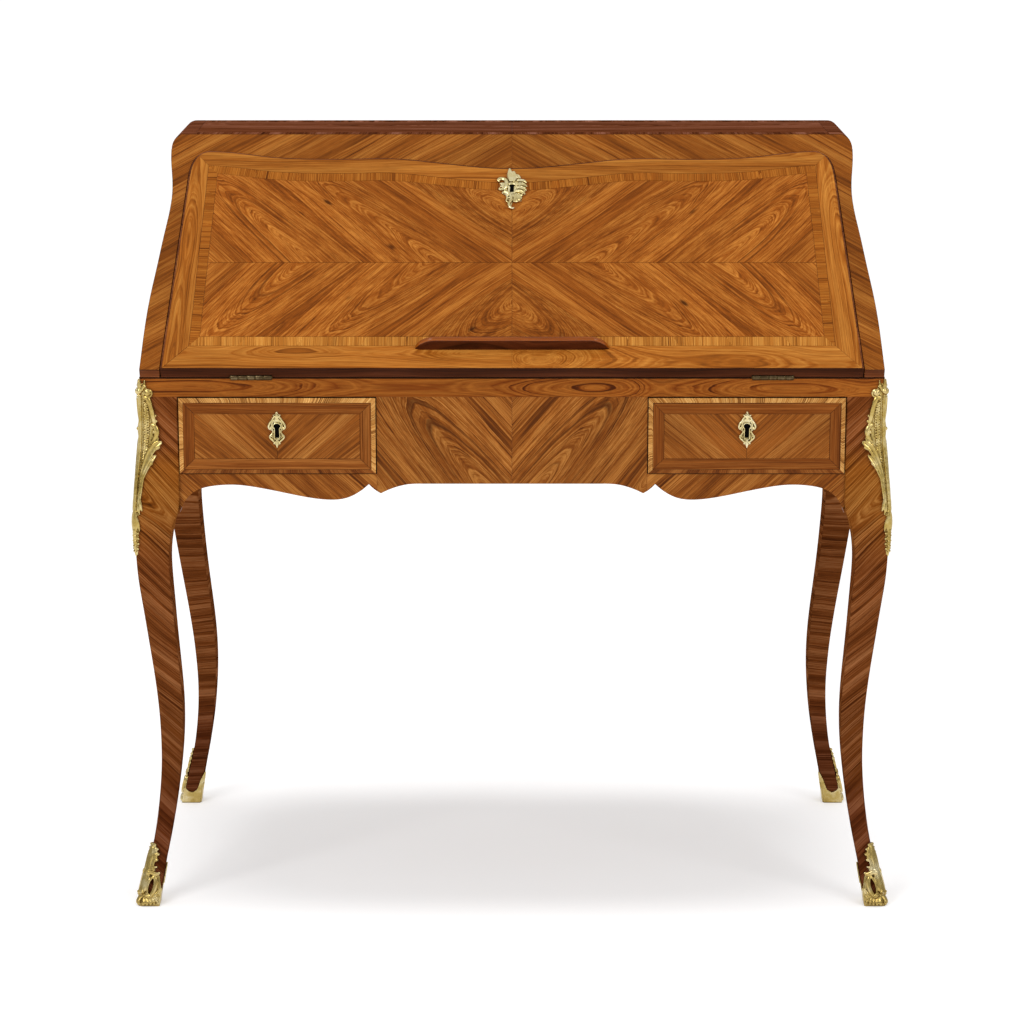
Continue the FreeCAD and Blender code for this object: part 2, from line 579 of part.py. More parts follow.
kp = [(0, 0), (3.2, 0), (3.2, -1.2), (2.2, -3.0), (2.4, -5.0), (5.2, -7.4), (6.2, -9.6), (5.4, -11.8), (3.0, -13.2), (0, -13.6)]
kw = Part.makePolygon([V(SDX + r, UNIT_Y0 + 2 + y, zk) for r, y in kp] + [V(SDX, UNIT_Y0 + 2, zk)])
knob = Part.Face(kw).revolve(V(SDX, UNIT_Y0 + 2, zk), V(0, 1, 0), 360)
knob = fuse([Part.Solid(knob) if knob.ShapeType != "Solid" else knob, shank])
for side, f in (("right", lambda s: s), ("left", mirror_x)):
    put("small_drawer_%s_front" % side, one(f(sf)))
    put("small_drawer_%s_tray" % side, group([f(q) for q in tray]))
    put("small_drawer_%s_knob" % side, one(f(knob)))

# ---------------------------------------------------------------- output
for name in sorted(os.listdir("parts")):
    if name.endswith(".step") and name[:-5] not in NODES:
        os.remove(os.path.join("parts", name))
lo, hi = [1e9] * 3, [-1e9] * 3
for name, shp in NODES.items():
    bb = shp.BoundBox
    for k, (a, b) in enumerate(((bb.XMin, bb.XMax), (bb.YMin, bb.YMax), (bb.ZMin, bb.ZMax))):
        lo[k], hi[k] = min(lo[k], a), max(hi[k], b)
    if not shp.isValid():
        print("not valid:", name)
    n = len(shp.Solids)
    print("%-28s solids %d  volume %9.0f mm3" % (name, n, sum(s.Volume for s in shp.Solids)))
    shp.exportStep("parts/%s.step" % name)
print("nodes", len(NODES), "box", [round(v, 2) for v in lo], [round(v, 2) for v in hi])
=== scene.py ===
import bpy, bmesh, math, random
from mathutils import Vector, Matrix


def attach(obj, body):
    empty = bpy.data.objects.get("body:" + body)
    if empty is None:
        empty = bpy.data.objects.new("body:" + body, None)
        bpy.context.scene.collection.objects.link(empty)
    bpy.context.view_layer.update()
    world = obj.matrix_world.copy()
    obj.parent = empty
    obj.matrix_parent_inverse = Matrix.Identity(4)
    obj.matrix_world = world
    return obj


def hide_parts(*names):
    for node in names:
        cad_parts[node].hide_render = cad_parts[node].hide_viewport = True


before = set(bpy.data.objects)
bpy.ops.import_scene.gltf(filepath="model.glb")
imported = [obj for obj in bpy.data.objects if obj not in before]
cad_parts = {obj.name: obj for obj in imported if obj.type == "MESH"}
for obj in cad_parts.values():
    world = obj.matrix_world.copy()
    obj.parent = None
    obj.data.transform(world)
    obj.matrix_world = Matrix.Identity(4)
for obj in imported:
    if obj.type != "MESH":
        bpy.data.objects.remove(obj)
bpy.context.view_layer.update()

# ------------------------------------------------------------------ sizes (mm), same frame as the CAD
HW, YF, YB, ZP, ZT = 485.0, -225.0, 225.0, 719.0, 1007.0
C = math.sqrt(0.5)
LID_T, FRAME_T, GAP = 20.0, 17.0, 0.8
TOP_T, TOP_R = 18.0, 16.0
RAIL_Z0, DZ0, DX0, DX1 = 693.0, 590.5, 177.0, 436.0
D_PROUD, FRONT_T = 6.0, 22.0
ESC_Z = 651.0
DXC = (DX0 + DX1) / 2
SIN_A, SIN_B = 458.9, 0.0926
LEG = [(693, 485, 436), (650, 485.2, 436), (620, 487, 436), (590, 490.5, 436), (565, 493, 436),
       (548, 494.3, 436.3), (540, 494.7, 438), (528, 495, 443), (515, 495, 446.5), (501, 494.8, 449),
       (475, 494, 451), (447, 492, 450.2), (420, 488.7, 448.6), (393, 485.3, 447), (366, 482, 445.3),
       (339, 478.7, 443.4), (312, 475.6, 441.5), (285, 473, 440), (257, 471, 439.5), (229, 470, 440.3),
       (201, 469.8, 442.4), (173, 470.9, 445.5), (145, 473.2, 449.3), (117, 476.5, 453.9), (89, 481, 459),
       (61, 487.3, 464.8), (33, 494, 470), (12, 499, 473.3), (0, 501.5, 474.8)]
SIDE = [(719, 484.5), (745, 482.8), (780, 480.4), (815, 476.2), (850, 470), (885, 464), (915, 458.5),
        (938, 456.8), (962, 459.4), (978, 461.6), (989, 462)]
LID_TOP = [(410, 360), (385, 358), (359, 354.7), (338, 351.3), (317.6, 348.7), (292, 347), (268.7, 346.2),
           (244, 346), (219.8, 346.2), (196, 347), (172.4, 347.3), (152, 346.3), (134, 344.6), (116.6, 342.2),
           (91, 338.7), (65, 335.2), (42, 332.4), (19.5, 330.7), (0, 330.2)]
LID_HALF0 = 456.8
APRON_A = [(436, 538.5), (427, 557), (412, 569), (398.5, 573.2), (379, 575.6), (362, 575.8), (338, 573),
           (299, 565.3), (258.4, 557.5), (238.7, 555.8), (218.4, 557.8), (202, 565.3), (187.6, 576.7)]
APRON_B = [(187.6, 576.7), (180, 569.5), (171.9, 564.4)]
APRON_C = [(171.9, 564.4), (158.7, 570.5), (141.6, 575.6), (118, 577.2)]
SIDE_APRON = [(176, 538.5), (168, 556), (154, 568.5), (136, 574), (112, 574.5), (80, 569), (40, 561.5), (0, 559)]


# ------------------------------------------------------------------ curves
def cubic(xs, ys):
    """natural cubic spline"""
    n = len(xs)
    a = [0.0] * n; b = [0.0] * n; c = [0.0] * n; d = [0.0] * n
    b[0] = b[-1] = 1.0
    for i in range(1, n - 1):
        h0, h1 = xs[i] - xs[i - 1], xs[i + 1] - xs[i]
        a[i], b[i], c[i] = h0, 2 * (h0 + h1), h1
        d[i] = 6 * ((ys[i + 1] - ys[i]) / h1 - (ys[i] - ys[i - 1]) / h0)
    for i in range(1, n):
        m = a[i] / b[i - 1]
        b[i] -= m * c[i - 1]; d[i] -= m * d[i - 1]
    M = [0.0] * n
    M[-1] = d[-1] / b[-1]
    for i in range(n - 2, -1, -1):
        M[i] = (d[i] - c[i] * M[i + 1]) / b[i]

    def f(x):
        i = 0
        while i < n - 2 and x > xs[i + 1]:
            i += 1
        h = xs[i + 1] - xs[i]
        t0, t1 = xs[i + 1] - x, x - xs[i]
        return (M[i] * t0 ** 3 + M[i + 1] * t1 ** 3) / (6 * h) + (ys[i] / h - M[i] * h / 6) * t0 + (ys[i + 1] / h - M[i + 1] * h / 6) * t1
    return f


def smooth_pts(pts, n=5):
    """points along a smooth curve through pts (chord-length parameter)"""
    t = [0.0]
    for p, q in zip(pts, pts[1:]):
        t.append(t[-1] + math.hypot(q[0] - p[0], q[1] - p[1]))
    fx, fy = cubic(t, [p[0] for p in pts]), cubic(t, [p[1] for p in pts])
    out = []
    for i in range(len(t) - 1):
        for k in range(n):
            x = t[i] + (t[i + 1] - t[i]) * k / n
            out.append((fx(x), fy(x)))
    out.append(tuple(pts[-1]))
    return out


side_x = cubic([z for z, x in SIDE], [x for z, x in SIDE])
_lz = sorted(LEG)
leg_out = cubic([p[0] for p in _lz], [p[1] for p in _lz])
leg_in = cubic([p[0] for p in _lz], [p[2] for p in _lz])


def rear_shift(z):
    """how far a rear leg stands nearer the middle than a front leg"""
    t = min(max((475.0 - z) / 358.0, 0.0), 1.0)
    return 14.0 * t * t * (3.0 - 2.0 * t)


def x_in(z):
    return SIN_A - SIN_B * (z - ZP)


def lid_half(s):
    return LID_HALF0 - SIN_B * C * s


def lid_top_s():
    return smooth_pts(LID_TOP, 3)


def lid_corner():
    s_c = 318.0
    p0, p1, p2 = (lid_half(s_c), s_c), (lid_half(s_c) - 3.0, 357.0), LID_TOP[0]
    out = [p0]
    for k in range(1, 10):
        t = k / 10.0
        out.append(((1 - t) ** 2 * p0[0] + 2 * t * (1 - t) * p1[0] + t * t * p2[0],
                    (1 - t) ** 2 * p0[1] + 2 * t * (1 - t) * p1[1] + t * t * p2[1]))
    return out


# right half of the lid outline, from the lower right corner round to the middle of the upper edge
LID_HALF = [(lid_half(0.4), 0.4)] + [(lid_half(s), s) for s in (40, 80, 120, 160, 200, 240, 280)] + lid_corner() + lid_top_s()


def offset_open(pts, d):
    """move an open line sideways: d > 0 to the left of its direction"""
    out = []
    n = len(pts)
    for i in range(n):
        p = pts[max(i - 1, 0)]; q = pts[min(i + 1, n - 1)]
        tx, ty = q[0] - p[0], q[1] - p[1]
        l = math.hypot(tx, ty)
        out.append((pts[i][0] - ty / l * d, pts[i][1] + tx / l * d))
    return out


def inset(poly, d):
    """shrink a counter-clockwise polygon by d"""
    n = len(poly)
    out = []
    for i in range(n):
        p, q, r = poly[i - 1], poly[i], poly[(i + 1) % n]
        a = (q[0] - p[0], q[1] - p[1]); b = (r[0] - q[0], r[1] - q[1])
        la, lb = math.hypot(*a) or 1e-9, math.hypot(*b) or 1e-9
        na, nb = (-a[1] / la, a[0] / la), (-b[1] / lb, b[0] / lb)
        m = (na[0] + nb[0], na[1] + nb[1])
        k = 1 + na[0] * nb[0] + na[1] * nb[1]
        k = max(k, 0.25)
        out.append((q[0] + m[0] * d / k, q[1] + m[1] * d / k))
    return out


def area2(poly):
    return sum(p[0] * q[1] - q[0] * p[1] for p, q in zip(poly, poly[1:] + poly[:1]))


def ccw(poly):
    return poly if area2(poly) > 0 else list(reversed(poly))


def arc_len(pts):
    s = [0.0]
    for p, q in zip(pts, pts[1:]):
        s.append(s[-1] + math.dist(p, q))
    return s


# ------------------------------------------------------------------ mesh builder
class Mesh:
    """collects faces with a grain place at every corner, then makes one object"""

    def __init__(self):
        self.v, self.f, self.m, self.g, self.s = [], [], [], [], []

    def vert(self, p):
        self.v.append((p[0] * 0.001, p[1] * 0.001, p[2] * 0.001))
        return len(self.v) - 1

    def face(self, idx, mat=0, grain=None, smooth=False):
        self.f.append(tuple(idx)); self.m.append(mat); self.s.append(smooth)
        self.g.append(grain if grain is not None else [(0, 0, 0)] * len(idx))

    def slab(self, poly, M, h0, h1, grain, mat=0, edge_mat=None):
        """closed thin plate over a polygon; M(a, b, h) places it, grain(a, b) gives the grain place"""
        poly = ccw(poly)
        n = len(poly)
        lo = [self.vert(M(a, b, h0)) for a, b in poly]
        hi = [self.vert(M(a, b, h1)) for a, b in poly]
        g = [grain(a, b) for a, b in poly]
        em = mat if edge_mat is None else edge_mat
        flip = self._flip(M, poly)
        self.face(hi if not flip else hi[::-1], mat, g if not flip else g[::-1])
        self.face(lo[::-1] if not flip else lo, em, g[::-1] if not flip else g)
        for i in range(n):
            j = (i + 1) % n
            q = [lo[i], lo[j], hi[j], hi[i]]; gq = [g[i], g[j], g[j], g[i]]
            if flip:
                q.reverse(); gq.reverse()
            self.face(q, em, gq)

    @staticmethod
    def _flip(M, poly):
        a, b = poly[0]
        p0 = Vector(M(a, b, 0)); pa = Vector(M(a + 0.01, b, 0)) - p0; pb = Vector(M(a, b + 0.01, 0)) - p0; ph = Vector(M(a, b, 0.01)) - p0
        return pa.cross(pb).dot(ph) < 0

    def band(self, out, inn, M, h0, h1, grain, mat=0, edge_mat=None, planar=False):
        """closed plate between two lines of equally many points; grain(length along, 0 at out .. 1 at inn, width), or grain(a, b) if planar"""
        n = len(out)
        mid = [((p[0] + q[0]) / 2, (p[1] + q[1]) / 2) for p, q in zip(out, inn)]
        L = arc_len(mid)
        poly = out + inn[::-1]
        turn = area2(poly) < 0
        flip = self._flip(M, poly) != turn
        em = mat if edge_mat is None else edge_mat
        a0 = [self.vert(M(x, y, h0)) for x, y in out]; a1 = [self.vert(M(x, y, h1)) for x, y in out]
        b0 = [self.vert(M(x, y, h0)) for x, y in inn]; b1 = [self.vert(M(x, y, h1)) for x, y in inn]
        W = [math.dist(p, q) for p, q in zip(out, inn)]
        if planar:
            ga = [grain(x, y) for x, y in out]; gb = [grain(x, y) for x, y in inn]
        else:
            ga = [grain(L[i], 0.0, W[i]) for i in range(n)]; gb = [grain(L[i], 1.0, W[i]) for i in range(n)]

        def put(q, g, m):
            if flip:
                q = q[::-1]; g = g[::-1]
            self.face(q, m, g)
        for i in range(n - 1):
            j = i + 1
            put([a1[i], a1[j], b1[j], b1[i]], [ga[i], ga[j], gb[j], gb[i]], mat)
            put([a0[i], b0[i], b0[j], a0[j]], [ga[i], gb[i], gb[j], ga[j]], em)
            put([a0[i], a0[j], a1[j], a1[i]], [ga[i], ga[j], ga[j], ga[i]], em)
            put([b0[j], b0[i], b1[i], b1[j]], [gb[j], gb[i], gb[i], gb[j]], em)
        put([a0[0], a1[0], b1[0], b0[0]], [ga[0], ga[0], gb[0], gb[0]], em)
        put([a0[-1], b0[-1], b1[-1], a1[-1]], [ga[-1], gb[-1], gb[-1], ga[-1]], em)

    def obj(self, name, mats, body, replaces=(), slot=None):
        me = bpy.data.meshes.new(name)
        me.from_pydata(self.v, [], self.f)
        me.update()
        for m in mats:
            me.materials.append(m)
        me.polygons.foreach_set("material_index", self.m)
        me.polygons.foreach_set("use_smooth", self.s)
        at = me.attributes.new("log", "FLOAT_VECTOR", "CORNER")
        flat = []
        for p in me.polygons:
            g = self.g[p.index]
            for k in range(p.loop_total):
                flat += list(g[k])
        at.data.foreach_set("vector", flat)
        bm = bmesh.new()
        bm.from_mesh(me)
        bmesh.ops.recalc_face_normals(bm, faces=bm.faces)
        bm.to_mesh(me)
        bm.free()
        me.set_sharp_from_angle(angle=math.radians(40))
        o = bpy.data.objects.new(name, me)
        bpy.context.scene.collection.objects.link(o)
        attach(o, body)
        if replaces:
            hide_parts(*replaces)
        return o


def leaf(angle, origin=(0, 0), v0=0.0, w0=30.0, tilt=0.2, u0=0.0, mx=False, mb=None):
    """grain places of a flat veneer leaf, metres: along the grain, across it, depth in the log"""
    ca, sa = math.cos(math.radians(angle)), math.sin(math.radians(angle))

    def f(a, b):
        if mx:
            a = -a
        if mb is not None and b < mb:
            b = 2 * mb - b
        da, db = a - origin[0], b - origin[1]
        u, v = da * ca + db * sa, -da * sa + db * ca
        return ((u + u0) * 0.001, (v + v0) * 0.001, (w0 + tilt * u) * 0.001)
    return f


def along(u0=0.0, v0=0.0, w0=60.0, tilt=0.02, cross=False):
    """grain places of a band: along its length, or across it"""
    def f(L, t, W):
        if cross:
            return ((t * W + u0) * 0.001, (L + v0) * 0.001, w0 * 0.001)
        return ((L + u0) * 0.001, (t * W + v0) * 0.001, (w0 + tilt * L) * 0.001)
    return f


def eyed(tab, bc, u0=0.0, sgn=1, drift=0.0):
    """grain places of a long leaf whose face comes near the heart of the log here and there: tab gives the depth along it"""
    def depth(x):
        for (a, p), (b, q) in zip(tab, tab[1:]):
            if x <= b:
                return p + (q - p) * (x - a) / (b - a)
        return tab[-1][1]

    def f(a, b):
        x = a * sgn
        w = sum(depth(min(max(x + d, tab[0][0]), tab[-1][0])) for d in (-12, -6, 0, 6, 12)) / 5.0
        return ((x + u0) * 0.001, (b - bc + drift * x) * 0.001, w * 0.001)
    return f


# ------------------------------------------------------------------ materials
class Tree:
    def __init__(self, name):
        self.mat = bpy.data.materials.new(name)
        self.mat.use_nodes = True
        self.nt = self.mat.node_tree
        self.nt.nodes.clear()
        self.out = self.nt.nodes.new("ShaderNodeOutputMaterial")
        self.b = self.nt.nodes.new("ShaderNodeBsdfPrincipled")
        self.nt.links.new(self.b.outputs[0], self.out.inputs[0])

    def n(self, kind, **kw):
        x = self.nt.nodes.new(kind)
        for k, v in kw.items():
            setattr(x, k, v)
        return x

    def put(self, node, sock, val):
        s = node.inputs[sock]
        if isinstance(val, bpy.types.NodeSocket):
            self.nt.links.new(val, s)
        else:
            s.default_value = val

    def math(self, op, a, b=None, c=None, clamp=False):
        x = self.n("ShaderNodeMath", operation=op, use_clamp=clamp)
        self.put(x, 0, a)
        if b is not None:
            self.put(x, 1, b)
        if c is not None:
            self.put(x, 2, c)
        return x.outputs[0]

    def vmath(self, op, a, b=None):
        x = self.n("ShaderNodeVectorMath", operation=op)
        self.put(x, 0, a)
        if b is not None:
            self.put(x, 1, b)
        return x.outputs[0]

    def noise(self, vec, scale=1.0, detail=2.0, rough=0.5, dim="3D", w=None, lac=2.0, dist=0.0, colour=False):
        x = self.n("ShaderNodeTexNoise", noise_dimensions=dim)
        if vec is not None:
            self.put(x, "Vector", vec)
        if w is not None:
            self.put(x, "W", w)
        self.put(x, "Scale", scale); self.put(x, "Detail", detail); self.put(x, "Roughness", rough)
        self.put(x, "Lacunarity", lac); self.put(x, "Distortion", dist)
        return x.outputs["Color"] if colour else x.outputs["Fac"]

    def ramp(self, fac, stops, interp="LINEAR"):
        x = self.n("ShaderNodeValToRGB")
        x.color_ramp.interpolation = interp
        els = x.color_ramp.elements
        while len(els) < len(stops):
            els.new(0.5)
        for e, (p, c) in zip(els, stops):
            e.position = p
            e.color = (c[0], c[1], c[2], 1.0)
        self.put(x, "Fac", fac)
        return x.outputs["Color"]

    def span(self, val, a, b, c=0.0, d=1.0, smooth=False):
        x = self.n("ShaderNodeMapRange", interpolation_type="SMOOTHSTEP" if smooth else "LINEAR")
        x.clamp = True
        self.put(x, 0, val); self.put(x, 1, a); self.put(x, 2, b); self.put(x, 3, c); self.put(x, 4, d)
        return x.outputs[0]

    def mix(self, fac, a, b, blend="MIX"):
        x = self.n("ShaderNodeMix", data_type="RGBA", blend_type=blend)
        self.put(x, 0, fac)
        for i, v in ((6, a), (7, b)):
            if isinstance(v, bpy.types.NodeSocket):
                self.nt.links.new(v, x.inputs[i])
            else:
                x.inputs[i].default_value = (v[0], v[1], v[2], 1.0)
        return x.outputs[2]

    def bump(self, height, strength, dist):
        x = self.n("ShaderNodeBump")
        self.put(x, "Strength", strength); self.put(x, "Distance", dist); self.put(x, "Height", height)
        self.put(self.b, "Normal", x.outputs[0])

    def set(self, **kw):
        for k, v in kw.items():
            self.b.inputs[k.replace("_", " ")].default_value = v


def lin(r, g, b):
    f = lambda c: (c / 255.0 / 12.92) if c / 255.0 <= 0.04045 else ((c / 255.0 + 0.055) / 1.055) ** 2.4
    return (f(r), f(g), f(b))


def wood(name, dark, mid, light, coord="log", axis="X", ring=3.4, band=34.0, warp=0.008, streak=0.5, lines=0.26, fine=0.22, broad=0.46,
         contrast=1.0, pore=0.25, rough=0.34, spec=0.05, coat=0.0, tone=0.13, fibre=0.24, knots=0.0, gain=(1, 1, 1), foot=None, toe=None, post=None):
    """polished hardwood: growth figure from the place in the log, streaks, fibres, pores, tone drift"""
    dark, mid, light = [tuple(c * g for c, g in zip(k, gain)) for k in (dark, mid, light)]
    t = Tree(name)
    if coord == "log":
        P = t.n("ShaderNodeAttribute", attribute_name="log").outputs["Vector"]
    else:
        tc = t.n("ShaderNodeTexCoord").outputs["Object"]
        mp = t.n("ShaderNodeMapping")
        t.put(mp, "Vector", tc)
        rot = {"X": (0, 0, 0), "Y": (0, 0, math.radians(-90)), "Z": (0, math.radians(90), 0), "S": (math.radians(-45), 0, 0)}[axis]
        mp.inputs["Rotation"].default_value = rot
        mp.inputs["Location"].default_value = coord
        P = mp.outputs[0]
    wa = t.noise(t.vmath("MULTIPLY", P, (5.0, 6.0, 6.0)), 1.0, 1.0, 0.5, colour=True)
    wb = t.noise(t.vmath("MULTIPLY", P, (7.0, 60.0, 60.0)), 1.0, 3.0, 0.55, colour=True)
    wa = t.vmath("MULTIPLY", t.vmath("SUBTRACT", wa, (0.5, 0.5, 0.5)), (0.0, warp * 1.6, warp * 4))
    wb = t.vmath("MULTIPLY", t.vmath("SUBTRACT", wb, (0.5, 0.5, 0.5)), (0.0, 0.0042, 0.0042))
    Q = t.vmath("ADD", t.vmath("ADD", P, wa), wb)
    ln = t.n("ShaderNodeVectorMath", operation="LENGTH")
    t.put(ln, 0, t.vmath("MULTIPLY", Q, (0.0, 1.0, 1.0)))
    r = ln.outputs["Value"]
    bd = t.span(t.noise(None, 1.0, 4.0, 0.66, "1D", w=t.math("MULTIPLY", r, band)), 0.30, 0.70)
    # growth rings: dark late wood lines of uneven strength and spacing
    jit = t.math("MULTIPLY", t.math("SUBTRACT", t.noise(None, 1.0, 1.0, 0.5, "1D", w=t.math("MULTIPLY", r, 75.0)), 0.5), 9.0)
    ph = t.math("ADD", t.math("MULTIPLY", r, 1000.0 / ring), jit)
    fr = t.math("FRACT", ph)
    late = t.math("MULTIPLY", t.span(fr, 0.34, 0.84, smooth=True), t.span(fr, 0.86, 1.0, 1.0, 0.0, smooth=True))
    late = t.math("MULTIPLY", late, t.span(t.noise(t.vmath("MULTIPLY", Q, (9.0, 55.0, 55.0)), 1.0, 2.0, 0.6), 0.34, 0.62, 0.25, 1.25, smooth=True))
    wn = t.n("ShaderNodeTexWhiteNoise", noise_dimensions="1D")
    t.put(wn, "W", t.math("FLOOR", ph))
    late = t.math("MULTIPLY", late, t.math("ADD", t.math("MULTIPLY", wn.outputs["Value"], 0.9), 0.1))
    fn = t.span(t.noise(None, 1.0, 2.0, 0.6, "1D", w=t.math("MULTIPLY", r, 1100.0)), 0.3, 0.7)
    tonev = t.math("ADD", t.math("MULTIPLY", bd, broad), t.math("MULTIPLY", fn, fine))
    # vessel streaks along the grain
    sk = t.span(t.noise(t.vmath("MULTIPLY", P, (7.0, 170.0, 170.0)), 1.0, 4.0, 0.7), 0.28, 0.72)
    tonev = t.math("ADD", tonev, t.math("MULTIPLY", sk, fibre))
    tonev = t.math("SUBTRACT", t.math("ADD", tonev, 0.5 - broad * 0.5 - fine * 0.5 - fibre * 0.5 + lines * 0.14), t.math("MULTIPLY", late, lines))
    tonev = t.math("ADD", t.math("MULTIPLY", t.math("SUBTRACT", tonev, 0.5), contrast), 0.5, clamp=True)
    col = t.ramp(tonev, [(0.08, dark), (0.48, mid), (0.86, light)])
    # dark streaks that follow the growth and come and go along the board
    st = t.span(t.noise(None, 1.0, 2.0, 0.55, "1D", w=t.math("ADD", t.math("MULTIPLY", r, 260.0), 7.3)), 0.55, 0.72, smooth=True)
    br = t.span(t.noise(t.vmath("MULTIPLY", P, (5.0, 16.0, 16.0)), 1.0, 2.0, 0.5), 0.42, 0.66, smooth=True)
    col = t.mix(t.math("MULTIPLY", t.math("MULTIPLY", st, br), streak), col, (dark[0] * 0.72, dark[1] * 0.68, dark[2] * 0.68))
    # slow drift of tone
    dr = t.span(t.noise(t.vmath("MULTIPLY", P, (2.2, 8.0, 8.0)), 1.0, 2.0, 0.5), 0.3, 0.7, 1.0 - tone, 1.0 + tone)
    # fibres and pores
    fib = t.noise(t.vmath("MULTIPLY", P, (22.0, 560.0, 560.0)), 1.0, 3.0, 0.65)
    dr = t.math("MULTIPLY", dr, t.span(fib, 0.25, 0.75, 0.82, 1.16))
    cm = t.n("ShaderNodeCombineXYZ")
    for i in range(3):
        t.put(cm, i, dr)
    col = t.mix(1.0, col, cm.outputs[0], "MULTIPLY")
    po = t.span(t.noise(t.vmath("MULTIPLY", P, (50.0, 1400.0, 1400.0)), 1.0, 1.0, 0.5), 0.62, 0.72)
    col = t.mix(t.math("MULTIPLY", po, pore), col, (dark[0] * 0.5, dark[1] * 0.45, dark[2] * 0.45))
    if knots:
        vo = t.n("ShaderNodeTexVoronoi", feature="F1")
        t.put(vo, "Vector", t.vmath("MULTIPLY", P, (11.0, 24.0, 24.0))); t.put(vo, "Scale", 1.0)
        sp = t.n("ShaderNodeSeparateColor")
        t.put(sp, 0, vo.outputs["Color"])
        kn = t.math("MULTIPLY", t.span(vo.outputs["Distance"], 0.03, 0.12, 1.0, 0.0, smooth=True), t.span(sp.outputs[0], 0.45, 0.47))
        col = t.mix(t.math("MULTIPLY", kn, knots), col, (dark[0] * 0.3, dark[1] * 0.25, dark[2] * 0.25))
    # darker towards the feet and again at the toe: painted shade; darker above the post line too
    if foot is not None:
        z = t.n("ShaderNodeSeparateXYZ")
        t.put(z, 0, t.n("ShaderNodeTexCoord").outputs["Object"])
        fz = t.span(z.outputs[2], foot[0], foot[1], 0.0, 1.0, smooth=True)
        col = t.mix(fz, col, t.mix(1.0, col, foot[2], "MULTIPLY"))
        for k in (toe, post):
            if k is not None:
                col = t.mix(t.span(z.outputs[2], k[0], k[1], 0.0, 1.0, smooth=True), col, t.mix(1.0, col, k[2], "MULTIPLY"))
    t.put(t.b, "Base Color", col)
    rg = t.math("ADD", t.math("MULTIPLY", fib, 0.14), rough - 0.07)
    t.put(t.b, "Roughness", t.math("ADD", rg, t.math("MULTIPLY", po, 0.12)))
    t.set(Coat_Weight=coat, Coat_Roughness=0.12, Specular_IOR_Level=spec)
    t.bump(t.math("SUBTRACT", t.math("MULTIPLY", fib, 0.5), po), 0.10, 0.0004)
    return t.mat


def metal(name, base, wear_and_highlight, deep, rough=0.26, scale=260.0, grime_and_shade=0.8, hollow=0.0):
    """cast metal with chasing marks; brighter high spots, partly wear and partly painted highlight; darker hollows,
    partly grime and partly painted shade
    """
    t = Tree(name)
    P = t.n("ShaderNodeTexCoord").outputs["Object"]
    a = t.noise(P, scale, 4.0, 0.6)
    b = t.noise(P, scale * 0.2, 3.0, 0.55)
    col = t.ramp(t.math("ADD", t.math("MULTIPLY", a, 0.3), t.math("MULTIPLY", b, 0.7)), [(0.22, deep), (0.48, base), (0.8, wear_and_highlight)])
    geo = t.n("ShaderNodeNewGeometry").outputs["Pointiness"]
    # darker where the ambient occlusion is low: grime and painted shade in the hollows; brighter on the high points:
    # wear and painted highlight
    if hollow:
        ao = t.n("ShaderNodeAmbientOcclusion", samples=8)
        ao.inputs["Distance"].default_value = hollow
        col = t.mix(t.span(ao.outputs["AO"], 0.30, 0.86, grime_and_shade, 0.0), col, (deep[0] * 0.42, deep[1] * 0.36, deep[2] * 0.3))
        col = t.mix(t.span(geo, 0.53, 0.62, 0.0, 0.7), col, wear_and_highlight)
    else:
        # darker in the hollows found by pointiness: grime and painted shade; brighter on the high points: wear and
        # painted highlight
        col = t.mix(t.span(geo, 0.44, 0.498, grime_and_shade, 0.0), col, (deep[0] * 0.5, deep[1] * 0.46, deep[2] * 0.42))
        col = t.mix(t.span(geo, 0.52, 0.6, 0.0, 0.6), col, wear_and_highlight)
    t.put(t.b, "Base Color", col)
    t.put(t.b, "Roughness", t.math("ADD", t.math("MULTIPLY", a, 0.16), rough - 0.08))
    t.set(Metallic=1.0)
    t.bump(a, 0.05, 0.0004)
    return t.mat


# tulipwood tones
TD, TM, TL = lin(96, 50, 17), lin(158, 89, 32), lin(208, 140, 72)
M_FIELD = wood("veneer_field", TD, TM, TL, gain=(0.75, 0.66, 0.42), warp=0.005, fibre=0.42, fine=0.28, broad=0.42, streak=0.65, contrast=1.15, knots=0.85)
M_FRAME = wood("veneer_frame", TD, TM, TL, gain=(0.64, 0.60, 0.42), contrast=1.25)
M_FRIEZE = wood("veneer_frieze", TD, TM, TL, gain=(0.60, 0.56, 0.45), contrast=1.25, warp=0.008, tone=0.18, streak=0.65, fibre=0.36, fine=0.3, lines=0.36, knots=0.6)
M_DRAWER = wood("veneer_drawer", TD, TM, TL, gain=(0.66, 0.64, 0.55), contrast=1.35, warp=0.012, tone=0.2, streak=0.65, knots=0.6)
M_BAND = wood("veneer_band", TD, TM, TL, ring=3.6, streak=0.25, gain=(0.88, 0.87, 0.60))
M_CROSS = wood("veneer_crossband", TD, TM, TL, ring=2.4, warp=0.001, streak=0.25, lines=0.4, fine=0.36, broad=0.24, gain=(1.1, 1.26, 1.05))
M_CROSS2 = wood("veneer_crossband_deep", TD, TM, TL, ring=2.4, warp=0.001, streak=0.2, lines=0.44, fine=0.46, broad=0.2, tone=0.08, gain=(0.78, 0.71, 0.40))
M_CROSSL = wood("veneer_crossband_light", TD, TM, TL, ring=2.4, warp=0.001, streak=0.25, lines=0.5, fine=0.5, broad=0.3, contrast=1.2, gain=(1.15, 1.55, 2.0))
M_RAIL = wood("veneer_rail", TD, TM, TL, ring=4.2, warp=0.0026, lines=0.62, streak=0.3, gain=(0.485, 0.366, 0.19), contrast=1.15)
M_BORDER = wood("veneer_drawer_border", TD, TM, TL, ring=2.4, warp=0.003, fine=0.36, lines=0.36, gain=(0.49, 0.43, 0.35), contrast=1.25)
# tulipwood of the top, darker and more purple than the other veneers: painted shade and painted grazing reflection
M_TOP_SHADED = wood("veneer_top_painted_shade", TD, TM, TL, gain=(0.42, 0.39, 0.9), spec=0.0, rough=0.6, contrast=1.3)
